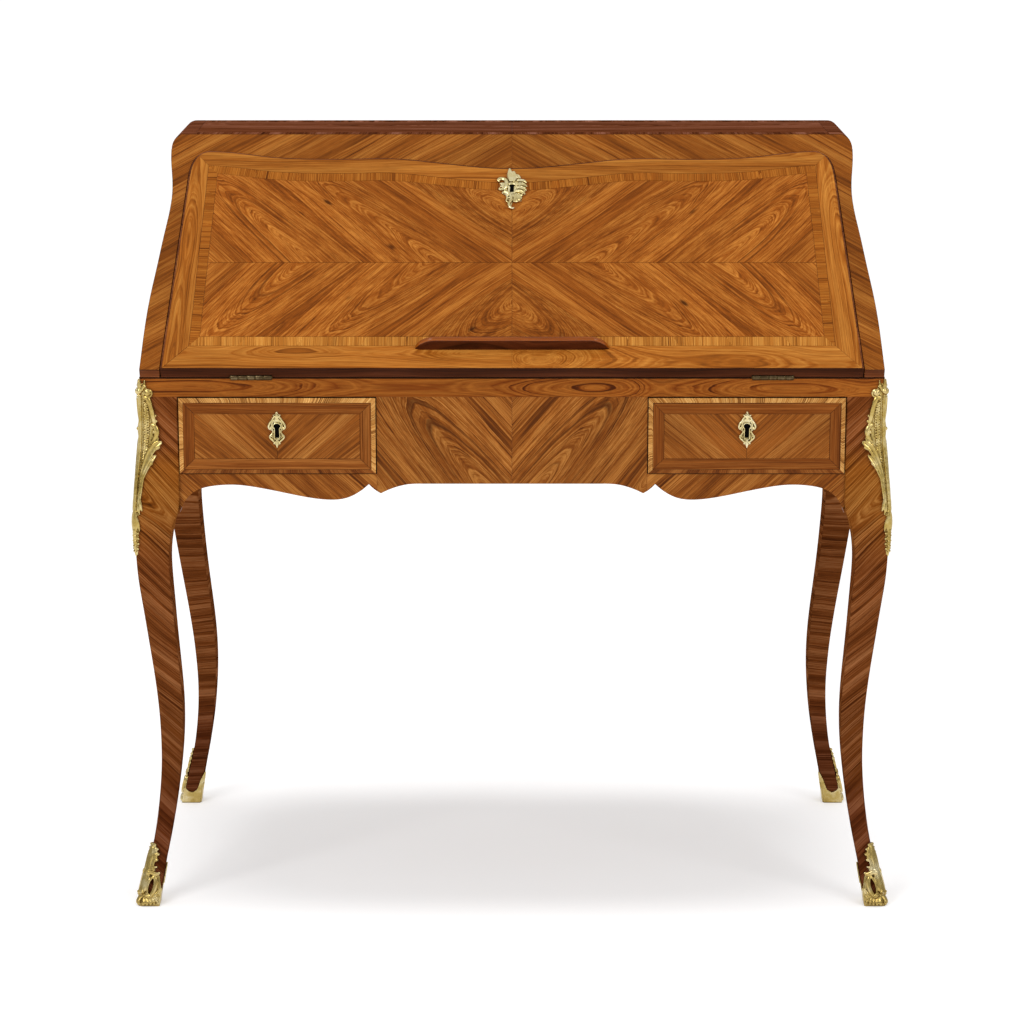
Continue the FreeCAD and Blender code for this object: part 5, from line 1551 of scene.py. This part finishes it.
def sabot(sx, sy):
    c = Cast(corner(sx, sy))
    rimf = [(0, 44), (0.68, 43), (0.82, 38), (0.9, 31), (1.0, 24), (1.25, 18.5), (1.5, 17), (1.72, 21), (1.86, 34), (2.0, 44)]

    def rim(t):
        for (a, x), (b, y) in zip(rimf, rimf[1:]):
            if a <= t <= b:
                return x + (y - x) * (t - a) / (b - a)
        return rimf[-1][1]
    K = 24
    n = 44
    for sg in (1, -1):
        for i in range(n):
            t0, t1 = 2.0 * i / n, 2.0 * (i + 1) / n
            for k in range(K):
                f0, f1 = k / K, (k + 1) / K
                zm = (f0 + f1) / 2 * (rim(t0) + rim(t1)) / 2
                tm = (t0 + t1) / 2
                wz = leg_out(zm) - leg_in(zm) - 0.86
                am = tm * wz
                if ((am - 9.8) / 3.0) ** 2 + ((zm - 27.0) / 10.4) ** 2 < 1.0:
                    continue                            # opening inside the scroll
                za0, za1 = f0 * rim(t0), f1 * rim(t0)
                zb0, zb1 = f0 * rim(t1), f1 * rim(t1)
                c.cell(sg * t0 * wz, sg * t1 * wz, za0, za1 + 0.1, zb0, zb1 + 0.1, -0.5, 1.3)
    # scroll round the opening: a roll that swells on the side away from the arris, with a curled end below
    ring = []
    for k in range(0, 26):
        th = math.radians(118 - k * 14.4)
        f = 2.45 + 0.95 * math.cos(th)
        ring.append((10.3 + 4.9 * math.cos(th), 27.0 + 12.3 * math.sin(th), f, 1.6 + 0.55 * f, 2.9))
    c.stroke(ring)
    c.stroke([(15.4, 19.0, 1.8, 1.8, 3.0), (12.2, 14.8, 2.4, 2.4, 3.4), (8.6, 13.6, 2.5, 2.5, 3.6), (6.6, 15.4, 1.8, 1.9, 3.8)])
    # collar
    c.stroke([(17.2, 44.6, 1.5, 1.5, 1.8), (13.6, 42.8, 2.9, 2.3, 2.5), (9.0, 43.8, 3.3, 2.6, 3.0), (4.8, 45.4, 3.5, 2.8, 3.3), (1.4, 44.4, 3.4, 2.9, 3.5)])
    c.bead(2.4, 46.2, 3.1, 3.2)
    # broad scroll down the arris, ending in a volute
    c.stroke([(1.6, 45, 4.2, 2.6, 2.0), (1.7, 38, 4.4, 3.0, 2.2), (1.8, 31, 4.5, 3.2, 2.3), (1.6, 25, 4.4, 3.2, 2.5), (1.2, 20.6, 3.6, 2.9, 2.9)])
    c.bead(1.2, 19.4, 3.6, 3.2)
    c.bead(1.4, 19.6, 1.8, 6.2)
    # leaf rising up the corner, its lobes part of the blade
    up = lambda pts: [(q[0], 45 + (q[1] - 45) * 0.9) + tuple(q[2:]) for q in pts]
    c.stroke(up([(4.6, 45, 6.6, 2.3, 1.6), (3.8, 51, 5.8, 2.3, 1.7), (2.8, 57.5, 4.8, 2.3, 1.8), (3.4, 64, 5.6, 2.2, 1.7), (3.2, 71.5, 5.2, 2.1, 1.7), (2.2, 78.5, 4.0, 1.8, 1.6), (1.0, 84.5, 2.4, 1.5, 1.5)]))
    c.stroke(up([(0, 44, 3.0, 2.6, 1.9), (0, 60, 2.8, 2.5, 1.9), (0, 76, 2.6, 2.2, 1.8), (0, 86.6, 1.6, 1.5, 1.6)]), both=False)
    c.stroke(up([(2.2, 49, 1.6, 1.6, 3.4), (1.9, 58, 1.5, 1.6, 3.6), (2.2, 70, 1.4, 1.5, 3.4), (1.2, 82, 0.9, 1.1, 2.9)]))
    c.stroke(up([(7.4, 49.4, 1.7, 1.6, 2.9), (5.8, 56, 1.5, 1.6, 3.2), (5.8, 64, 1.5, 1.5, 3.2), (5.6, 72, 1.2, 1.3, 2.9)]))
    for a, z, r in up([(8.8, 62.6, 3.1), (8.8, 70.6, 3.3), (6.2, 78.0, 3.1), (2.4, 84.4, 2.8)]):
        c.bead(a, z, r, 1.2)
        c.bead(a + 0.4, z + 0.4, r * 0.6, 1.2 + r * 0.55)
    c.bead(10.6, 51.6, 1.9, 1.6)
    # fluted shell at the toe
    for k in range(0, 6):
        a1 = k * 4.7
        f = (1.0, 1.0, 1.0, 0.96, 0.86, 0.68)[k]
        c.stroke([(a1 * 0.6, 13.0, 1.2, 1.2, 1.4), (a1 * 0.84, 9.2, 2.0 * f, 2.1 * f, 2.5 * f), (a1, 4.9, 2.3 * f, 2.5 * f, 3.2 * f), (a1 * 1.01, 1.6 + (1 - f) * 5, 1.4 * f, 1.4 * f, 3.0 * f)], both=k > 0)
    # leafwork between the scroll and the inner edge
    c.stroke([(12.6, 12.6, 1.0, 1.0, 1.6), (16.4, 13.4, 1.6, 1.5, 1.9), (19.6, 17.4, 1.6, 1.5, 1.8), (21.6, 23.0, 1.1, 1.1, 1.5)])
    for a, z, r in ((20.4, 11.6, 2.0), (22.4, 16.8, 1.7), (16.8, 9.8, 1.7)):
        c.bead(a, z, r, 1.5)
    # leaf on the inner corner
    c.stroke([(1.82 * 24.5, 24, 2.6, 1.2, 1.2), (1.87 * 24.0, 35, 2.7, 1.2, 1.2), (1.92 * 23.8, 44, 2.0, 1.1, 1.2), (1.95 * 23.6, 50.5, 1.0, 0.9, 1.1)])
    for a, z, r in ((1.83 * 24, 40, 1.6), (1.79 * 24.2, 32, 1.7)):
        c.bead(a, z, r, 1.1)
    return c


for nm, sx, sy in (("front_left", -1, -1), ("front_right", 1, -1), ("rear_left", -1, 1), ("rear_right", 1, 1)):
    sabot(sx, sy).obj("sabot_%s_cast" % nm, M_SHOE, "carcase", ("sabot_" + nm,), "gilt_bronze", voxel=0.55, ratio=0.5, smooth=4)


def keyhole(r, drop, w):
    """keyhole outline about the middle of its round part"""
    pts = []
    a0 = math.asin(min(0.95, w / r))
    for k in range(19):
        th = -math.pi / 2 + a0 + (2 * math.pi - 2 * a0) * k / 18
        pts.append((r * math.cos(th), r * math.sin(th)))
    return [(w, -drop)] + pts + [(-w, -drop)]


def drawer_plate(sx):
    xc = DXC
    S = lambda a, z, h: ((xc + a) * sx, YF - D_PROUD - h, ESC_Z + z)
    c = Cast(S)
    half = [(0, 23.6), (1.6, 22.4), (3.2, 19.6), (5.2, 18.8), (5.2, 15.6), (7.4, 11.6), (11.2, 7.0), (11.9, 3.4), (10.4, 0.2), (7.4, -1.4), (6.4, -4.4), (8.8, -6.6), (10.0, -9.2), (8.2, -12.0), (5.2, -15.0), (4.6, -18.2), (2.4, -20.6), (0.8, -23.2), (0, -23.8)]
    # backing left open round the keyhole
    hole = keyhole(3.7, 14.4, 2.4)
    c.kh = 1.6
    ring_out = half + [(-a, z) for a, z in reversed(half[1:-1])]
    kz = 3.6
    inner = [(a, z + kz) for a, z in hole]

    def ray(th):
        """radius of the outline and of the keyhole in a direction from the middle of the slot"""
        dx, dz = math.cos(th), math.sin(th)
        best = []
        for poly in (ring_out, inner):
            rr = 0.0
            for p, q in zip(poly, poly[1:] + poly[:1]):
                ex, ez = q[0] - p[0], q[1] - p[1]
                den = dx * ez - dz * ex
                if abs(den) < 1e-9:
                    continue
                oz = p[1] + 1.5
                t = (p[0] * ez - oz * ex) / den
                u = (p[0] * dz - oz * dx) / den
                if t > 0 and -1e-6 <= u <= 1 + 1e-6:
                    rr = max(rr, t)
            best.append(rr)
        return best
    N = 72
    for k in range(N):
        t0, t1 = 2 * math.pi * k / N, 2 * math.pi * (k + 1) / N
        (o0, i0), (o1, i1) = ray(t0), ray(t1)
        vs = []
        for th, o, i in ((t0, o0, i0), (t1, o1, i1)):
            for r in (i + 0.2, max(o - 0.3, i + 0.8)):
                for h in (-0.1, 1.0):
                    vs.append(c.bm.verts.new(Vector(S(r * math.cos(th), r * math.sin(th) - 1.5, h)) * 0.001))
        for f in ((0, 1, 3, 2), (4, 6, 7, 5), (0, 4, 5, 1), (2, 3, 7, 6), (0, 2, 6, 4), (1, 5, 7, 3)):
            c.bm.faces.new([vs[i] for i in f])
    # upper and lower scrolls
    c.stroke([(1.0, 17.2, 1.1, 1.0, 1.2), (4.4, 16.2, 1.4, 1.3, 1.4), (6.6, 12.2, 1.7, 1.5, 1.5), (9.8, 7.8, 1.8, 1.6, 1.6), (10.8, 4.0, 1.6, 1.5, 1.6), (9.4, 1.0, 1.4, 1.4, 1.6), (7.6, 2.0, 1.1, 1.1, 1.6)])
    c.stroke([(3.6, 13.2, 0.7, 0.8, 1.2), (6.0, 8.6, 0.9, 0.9, 1.3), (7.2, 4.6, 0.9, 0.9, 1.3), (5.8, 0.6, 0.8, 0.9, 1.3), (5.4, -4.2, 0.9, 0.9, 1.3)])
    c.stroke([(6.0, -4.0, 1.0, 1.1, 1.3), (7.2, -6.2, 1.4, 1.3, 1.5), (9.2, -8.2, 1.6, 1.5, 1.6), (8.4, -11.4, 1.6, 1.5, 1.6), (5.4, -14.2, 1.5, 1.4, 1.5), (3.0, -17.2, 1.1, 1.1, 1.3)])
    c.bead(7.4, -8.6, 1.5, 2.0)
    c.bead(8.6, 2.6, 1.5, 2.2)
    # raised lip round the keyhole
    lip = [(a * 1.4, (z + 5.4) * 1.15 - 5.4 + kz) for a, z in keyhole(3.7, 14.4, 2.4)]
    c.stroke([(a, z, 0.9, 0.9, 1.1) for a, z in lip + [lip[0]]], both=False, step=1.0)
    # finials
    c.leaf([(0, 14.0, 1.8, 1.2, 1.2), (0, 18.5, 2.2, 1.4, 1.4), (0, 22.0, 1.3, 1.0, 1.3), (0, 23.8, 0.5, 0.5, 1.1)], both=False)
    c.leaf([(1.2, 16.0, 0.8, 0.8, 1.2), (3.4, 18.4, 1.0, 1.0, 1.4), (4.8, 19.8, 0.5, 0.5, 1.3)])
    c.leaf([(0, -13.0, 1.6, 1.1, 1.2), (0, -18.0, 2.0, 1.3, 1.4), (0, -21.6, 1.2, 1.0, 1.3), (0, -23.8, 0.5, 0.5, 1.1)], both=False)
    c.leaf([(1.2, -15.0, 0.8, 0.8, 1.2), (3.2, -17.6, 1.0, 1.0, 1.4), (4.4, -18.8, 0.5, 0.5, 1.3)])
    return c


for nm, sx in (("left", -1), ("right", 1)):
    drawer_plate(sx).obj("drawer_%s_keyplate" % nm, M_GILTP, "drawer_" + nm, ("drawer_%s_escutcheon" % nm,), "gilt_bronze", voxel=0.34, ratio=0.5, smooth=1)
    # near-black plug behind the keyhole of the plate: painted shade of the hole
    m = Mesh()
    m.slab(ccw([(a, z + 3.6) for a, z in keyhole(4.3, 15.2, 3.0)]), lambda a, z, h, sx=sx: ((DXC + a) * sx, YF - D_PROUD - h, ESC_Z + z), -0.3, 0.12, lambda a, b: (0, 0, 0), 0)
    m.obj("drawer_%s_keyway" % nm, [M_KEYHOLE_SHADE], "drawer_" + nm, slot="lock_iron")


def lid_plate():
    SC = 293.0
    S = lambda a, s, h: on_slope(a, SC + s, LID_T + h)
    c = Cast(S, mirror=False)
    c.kw, c.kh = 1.28, 1.5
    c.plate(ccw([(-3.3, 32), (1, 31), (11, 18.6), (9, 12), (17.6, 11), (18.6, 3), (17, -8), (12.6, -14), (13, -20), (7, -23.5), (1, -22), (-1, -28), (-4, -28), (-4.4, -20), (-7, -13), (-12, -8), (-11, -1), (-7.5, 4), (-8, 14), (-6, 22)]), -0.1, 0.9)
    # shell leaf above
    c.leaf([(-1.0, 12, 2.6, 1.2, 1.3), (-2.4, 22, 4.0, 1.5, 1.6), (-3.0, 30, 2.2, 1.3, 1.5), (-3.2, 34, 0.7, 0.7, 1.2)])
    c.leaf([(2.0, 13, 2.4, 1.2, 1.3), (4.0, 20, 3.4, 1.4, 1.6), (7.4, 20.5, 3.0, 1.3, 1.5), (11.4, 17.6, 0.9, 0.8, 1.2)])
    c.stroke([(0.6, 14, 1.0, 1.0, 1.4), (2.4, 24, 2.6, 1.2, 1.5), (2.2, 29, 1.0, 0.9, 1.3)])
    # C-scroll on the left with a small leaf in it
    c.stroke([(-16.4, 11.6, 1.2, 1.1, 1.5), (-18.6, 13.6, 1.6, 1.3, 1.5), (-15.6, 16.2, 2.0, 1.5, 1.7), (-10.2, 14.8, 2.2, 1.6, 1.8), (-7.2, 9.0, 2.3, 1.7, 1.8), (-8.4, 2.4, 2.1, 1.6, 1.8), (-12.6, -1.2, 1.8, 1.4, 1.6), (-16.8, -1.6, 1.3, 1.2, 1.5), (-16.4, 1.0, 0.9, 0.9, 1.5)])
    c.leaf([(-9.8, 8.0, 1.2, 1.0, 1.3), (-13.4, 7.6, 1.9, 1.1, 1.4), (-16.6, 8.6, 0.7, 0.7, 1.1)])
    c.leaf([(-10.2, 5.2, 1.0, 0.9, 1.2), (-13.4, 3.6, 1.4, 1.0, 1.3), (-16.0, 4.2, 0.6, 0.6, 1.1)])
    # wings on the right
    c.stroke([(6.6, 12.6, 1.3, 1.2, 1.6), (11.0, 13.6, 1.6, 1.3, 1.7), (16.4, 12.4, 1.5, 1.2, 1.6), (19.4, 9.0, 0.9, 0.9, 1.3)])
    c.leaf([(5.6, 6.4, 1.6, 1.2, 1.4), (11.6, 7.2, 2.2, 1.4, 1.7), (17.2, 5.8, 1.7, 1.2, 1.5), (19.8, 3.4, 0.7, 0.7, 1.2)])
    c.leaf([(5.4, 1.0, 1.6, 1.2, 1.4), (11.4, 1.4, 2.2, 1.4, 1.7), (16.8, -0.6, 1.7, 1.2, 1.5), (19.2, -3.6, 0.7, 0.7, 1.2)])
    c.leaf([(5.0, -4.4, 1.6, 1.2, 1.4), (10.4, -5.0, 2.2, 1.4, 1.7), (15.2, -7.6, 1.7, 1.2, 1.5), (17.8, -9.6, 0.7, 0.7, 1.2)])
    # fan below on the right
    for k in range(5):
        th = math.radians(-100 + k * 27)
        c.stroke([(4.6, -12.0, 1.3, 1.1, 1.5), (4.6 + 5.0 * math.cos(th), -12.6 + 5.6 * math.sin(th), 1.8, 1.3, 1.6), (4.6 + 9.4 * math.cos(th), -12.6 + 11.0 * math.sin(th), 1.4, 1.0, 1.3)])
    # scroll and tail below on the left
    c.stroke([(-13.4, -8.6, 0.9, 0.9, 1.3), (-10.4, -6.2, 1.5, 1.2, 1.6), (-5.4, -8.0, 1.7, 1.4, 1.8), (-1.6, -13.6, 1.8, 1.5, 1.8), (-1.4, -20.4, 1.7, 1.4, 1.7), (-4.2, -26.0, 1.6, 1.3, 1.6), (-3.0, -31.4, 1.5, 1.2, 1.5), (1.0, -33.4, 1.1, 1.0, 1.3), (2.8, -31.6, 0.7, 0.7, 1.2)])
    c.stroke([(-9.6, -2.4, 1.0, 1.0, 1.4), (-8.0, -9.6, 1.4, 1.2, 1.5), (-6.4, -15.4, 1.3, 1.1, 1.5), (-7.6, -21.0, 1.0, 1.0, 1.3), (-5.4, -23.4, 0.8, 0.8, 1.2)])
    c.bead(-4.0, -15.6, 1.8, 1.4)
    # lip of the keyhole
    lip = [(a * 1.75, z * 1.26 + 5.0) for a, z in keyhole(3.1, 9.4, 2.2)]
    c.stroke([(a, z, 1.35, 1.0, 1.0) for a, z in lip + [lip[0]]], step=1.0)
    return c


lp = lid_plate().obj("lid_keyplate", M_GILTP, "lid", ("lid_escutcheon",), "gilt_bronze", voxel=0.45, ratio=0.5, smooth=1)
# near-black plug in the keyhole of the lid plate: painted shade of the hole
m = Mesh()
m.slab(ccw([(a * 1.06, z * 1.06 + 5.2) for a, z in keyhole(3.1, 10.6, 1.9)]), lambda a, s, h: on_slope(a, 293.0 + s, LID_T + h), 0.2, 1.5, lambda a, b: (0, 0, 0), 0)
m.obj("lid_keyway", [M_KEYHOLE_SHADE], "lid", slot="lock_iron")


# ------------------------------------------------------------------ book rest
def book_rest():
    m = Mesh()
    s0, s1, n0, n1, xe = 29.6, 36.6, 19.9, 42.0, 126.0
    rows = []
    xs = [-xe + 2 * xe * k / 64 for k in range(65)]
    xs = sorted(set(xs + [sg * (xe - d) for sg in (1, -1) for d in (0.4, 1.2, 2.4, 4.0, 6.0)]))
    for x in xs:
        d = xe - abs(x)
        f = min(d / 25.0, 1.0)
        top = n0 + 1.6 + (n1 - n0 - 1.6) * (1 - (1 - f) ** 2) ** 0.75
        half = (s1 - s0) / 2 * min(1.0, 0.55 + 0.45 * math.sqrt(min(d / 9.0, 1.0)))
        sc = (s0 + s1) / 2
        r = min(half, (top - n0) * 0.6)
        loop = [(sc - half, n0), (sc + half, n0), (sc + half, top - r)]
        for k in range(1, 8):
            th = math.pi * k / 8
            loop.append((sc + half * math.cos(th), top - r + r * math.sin(th)))
        loop.append((sc - half, top - r))
        rows.append([m.vert(on_slope(x, s, n)) for s, n in loop])
    K = len(rows[0])
    for a, b, x0, x1 in zip(rows, rows[1:], xs, xs[1:]):
        for k in range(K):
            j = (k + 1) % K
            g = lambda x, kk: ((x + 300) * 0.001, (kk * 2.0 + 14) * 0.001, 0.02)
            m.face([a[k], a[j], b[j], b[k]], 1 if 1 <= k <= 8 else 0, [g(x0, k), g(x0, k + 1), g(x1, k + 1), g(x1, k)], 2 <= k <= K - 2)
    m.face(rows[0][::-1], 0); m.face(rows[-1], 0)
    return m


book_rest().obj("book_rest_shaped", [M_KINGL, M_REST], "lid", ("book_rest",), "kingwood_edge")

# ------------------------------------------------------------------ hinge barrels: rounded sleeves over the knuckles
def barrel(x0, x1, m):
    N = 28
    # profile points: place, radius, and 1 where the face takes the near-black second material, the painted shade at the
    # knuckle ends
    prof = [(x0 + 0.05, 3.4, 1), (x0 + 0.12, 3.6, 1), (x0 + 0.95, 3.84, 1), (x0 + 1.8, 3.95, 0), (x1 - 1.8, 3.95, 0), (x1 - 0.95, 3.84, 1), (x1 - 0.12, 3.6, 1), (x1 - 0.05, 3.4, 1), ((x0 + x1) / 2, 3.3, 1)]
    rings = [[m.vert((x, YF + r * math.cos(2 * math.pi * k / N), ZP + r * math.sin(2 * math.pi * k / N))) for k in range(N)] for x, r, mt in prof]
    for i in range(len(prof)):
        a, b = rings[i], rings[(i + 1) % len(prof)]
        for k in range(N):
            j = (k + 1) % N
            m.face([a[k], a[j], b[j], b[k]], 1 if prof[i][2] and prof[(i + 1) % len(prof)][2] else 0, None, True)


for body, odd in (("carcase", 0), ("lid", 1)):
    m = Mesh()
    kl = (HL - 0.4 * 4) / 5
    for xc in (-HX, HX):
        for k in range(odd, 5, 2):
            barrel(xc - HL / 2 + k * (kl + 0.4), xc - HL / 2 + k * (kl + 0.4) + kl, m)
    m.obj("hinge_barrels_" + body, [M_BARREL, M_BARREL_END_SHADE], body, slot="hinge_brass")


# ------------------------------------------------------------------ boards of the back
def back_boards():
    m = Mesh()
    rnd = random.Random(77)
    on_back = lambda x, z, h: (x, YB + h, z)
    edges = [585.2, 650.0, ZP - 0.2, 812.0, 896.0, 988.8]
    for z0, z1 in zip(edges, edges[1:]):
        z0, z1 = z0 + 0.35, z1 - 0.35
        h0 = 435.6 if z1 < ZP else x_in(z0) - 0.4
        h1 = 435.6 if z1 < ZP else x_in(z1) - 0.4
        n = 24
        lo = [(-h0 + 2 * h0 * k / n, z0) for k in range(n + 1)]
        hi = [(-h1 + 2 * h1 * k / n, z1) for k in range(n + 1)]
        w = rnd.uniform(5, 14)
        xs = rnd.uniform(-200, 200)
        tab = [(-500, w + 16), (xs - 160, w + 10), (xs, w), (xs + 190, w + 13), (500, w + 22)]
        m.band(lo, hi, on_back, H0, H1, eyed(tab, (z0 + z1) / 2 + rnd.uniform(-22, 22), rnd.uniform(0, 3000), 1, rnd.uniform(-0.015, 0.015)), 0, 1, planar=True)
    return m


back_boards().obj("back_boards", [M_BACK, M_GROUND_AND_SHADE], "carcase", slot="oak_secondary")


# ------------------------------------------------------------------ tooled line round the leather
def tooling():
    m = Mesh()
    for d, w in ((9.0, 1.8), (13.5, 0.8)):
        x, sa, sb = 390.0 - d, 52.0 + d, 268.0 - d
        o = [(-x, sa), (x, sa), (x, sb), (-x, sb)]
        i = inset(o, w)
        for k in range(4):
            j = (k + 1) % 4
            m.slab(ccw([o[k], o[j], i[j], i[k]]), on_slope, LEATHER_N - 0.12, LEATHER_N + 0.1, lambda a, b: (0, 0, 0), 0)
    return m


LEATHER_N = 0.0
tooling().obj("leather_tooling", [M_GILTP], "lid", slot="gilt_bronze")

# ------------------------------------------------------------------ materials of the pieces that keep their CAD shape
for n, mt in {"front_top_rail": M_EDGE, "front_apron_rail": M_EDGE, "front_centre_panel": M_EDGE, "side_frieze_left": M_EDGE, "side_frieze_right": M_EDGE,
              "back_frieze_rail": M_OAK, "back_panel": M_OAK, "drawer_partitions": M_OAKY, "drawer_runners": M_OAKY, "writing_bed": M_INT, "well_box": M_OAK,
              "upper_fascia": M_EDGE, "lid_stop_battens": M_EDGE, "unit_floor": M_INT, "unit_shelf": M_INT, "unit_lower_walls": M_INTY, "pigeonhole_dividers": M_INTY,
              
              "hinge_rail_leaves": M_BRASS, "hinge_pins": M_BRASS, "hinge_rail_screws": M_BRASS, "hinge_lid_leaves": M_BRASS, "hinge_lid_screws": M_BRASS,
              "lid_leather": M_LEATHER, "lid_lock": M_IRON, "lid_bolt": M_IRON, 
              "drawer_left_sides_and_back": M_OAKY, "drawer_right_sides_and_back": M_OAKY, "drawer_left_bottom": M_OAK, "drawer_right_bottom": M_OAK,
              "drawer_left_lock": M_IRON, "drawer_right_lock": M_IRON,
              "drawer_left_bolt": M_IRON, "drawer_right_bolt": M_IRON, "well_cover": M_INT,
              "small_drawer_left_front": M_INT, "small_drawer_right_front": M_INT, "small_drawer_left_tray": M_OAKY, "small_drawer_right_tray": M_OAKY,
              "small_drawer_left_knob": M_BRASS, "small_drawer_right_knob": M_BRASS}.items():
    set_mat(n, mt)


# ------------------------------------------------------------------ stage, light, camera
def stage():
    me = bpy.data.meshes.new("floor")
    r = 160.0
    me.from_pydata([(-r, -r, 0), (r, -r, 0), (r, r, 0), (-r, r, 0)], [], [(0, 1, 2, 3)])
    o = bpy.data.objects.new("floor", me)
    bpy.context.scene.collection.objects.link(o)
    t = Tree("floor")
    t.set(Base_Color=(0.84, 0.84, 0.845, 1), Roughness=0.7, Specular_IOR_Level=0.1, Emission_Color=(1, 1, 1, 1))
    # painted shadow: the floor glows less under the desk, in a rounded oblong between the feet
    xy = t.n("ShaderNodeSeparateXYZ")
    t.put(xy, 0, t.n("ShaderNodeTexCoord").outputs["Object"])
    far = []
    for k, half in ((0, 0.53), (1, 0.29)):
        q = t.math("MULTIPLY", xy.outputs[k], 1.0 / half)
        q = t.math("MULTIPLY", q, q)
        far.append(t.math("MULTIPLY", q, q))
    far = t.math("POWER", t.math("ADD", far[0], far[1]), 0.25)
    t.put(t.b, "Emission Strength", t.span(far, 0.62, 1.22, 0.08, 0.40, smooth=True))
    me.materials.append(t.mat)
    # plain white backdrop all round, far off; it gives no light of its own to the desk
    n = 96
    pts = [(30.0 * math.cos(2 * math.pi * k / n), 30.0 * math.sin(2 * math.pi * k / n)) for k in range(n)]
    me = bpy.data.meshes.new("backdrop")
    me.from_pydata([(x, y, 0.0) for x, y in pts] + [(x, y, 25.0) for x, y in pts], [],
                   [(k, (k + 1) % n, n + (k + 1) % n, n + k) for k in range(n)])
    o = bpy.data.objects.new("backdrop", me)
    bpy.context.scene.collection.objects.link(o)
    t = Tree("backdrop")
    t.set(Base_Color=(0, 0, 0, 1), Roughness=1.0, Specular_IOR_Level=0.0, Emission_Color=(1, 1, 1, 1), Emission_Strength=1.0)
    me.materials.append(t.mat)
    o.visible_diffuse = o.visible_glossy = o.visible_transmission = o.visible_volume_scatter = o.visible_shadow = False
    w = bpy.data.worlds.new("world")
    bpy.context.scene.world = w
    w.use_nodes = True
    nt = w.node_tree
    tc = nt.nodes.new("ShaderNodeTexCoord")
    sp = nt.nodes.new("ShaderNodeSeparateXYZ")
    nt.links.new(tc.outputs["Generated"], sp.inputs[0])
    mr = nt.nodes.new("ShaderNodeMapRange")
    nt.links.new(sp.outputs[2], mr.inputs[0])
    mr.inputs[1].default_value = -0.1; mr.inputs[2].default_value = 0.9
    mr.inputs[3].default_value = 0.32; mr.inputs[4].default_value = 0.92
    nt.links.new(mr.outputs[0], nt.nodes["Background"].inputs[1])
    nt.nodes["Background"].inputs[0].default_value = (1.0, 1.0, 1.0, 1)

    def area(name, loc, target, size, power, colour=(1, 1, 1)):
        l = bpy.data.lights.new(name, "AREA")
        l.shape = "RECTANGLE"; l.size, l.size_y = size
        l.energy = power; l.color = colour
        ob = bpy.data.objects.new(name, l)
        ob.location = loc
        ob.rotation_euler = (Vector(target) - Vector(loc)).to_track_quat("-Z", "Y").to_euler()
        bpy.context.scene.collection.objects.link(ob)
    area("key", (-1.8, -2.6, 2.6), (0, 0, 0.7), (1.6, 1.2), 46.0)
    area("fill", (2.2, -2.4, 2.2), (0, 0, 0.6), (1.4, 1.4), 26.0)


stage()
cam = bpy.data.cameras.new("camera")
cam.lens = 115.49
cam.sensor_width = 36.0
cam.clip_end = 1000.0
co = bpy.data.objects.new("camera", cam)
co.location = (0.0, -4.4352, 1.4826)
co.rotation_euler = (math.radians(90 - 12.629), 0, 0)
bpy.context.scene.collection.objects.link(co)
bpy.context.scene.camera = co
bpy.context.scene.view_settings.view_transform = "Standard"
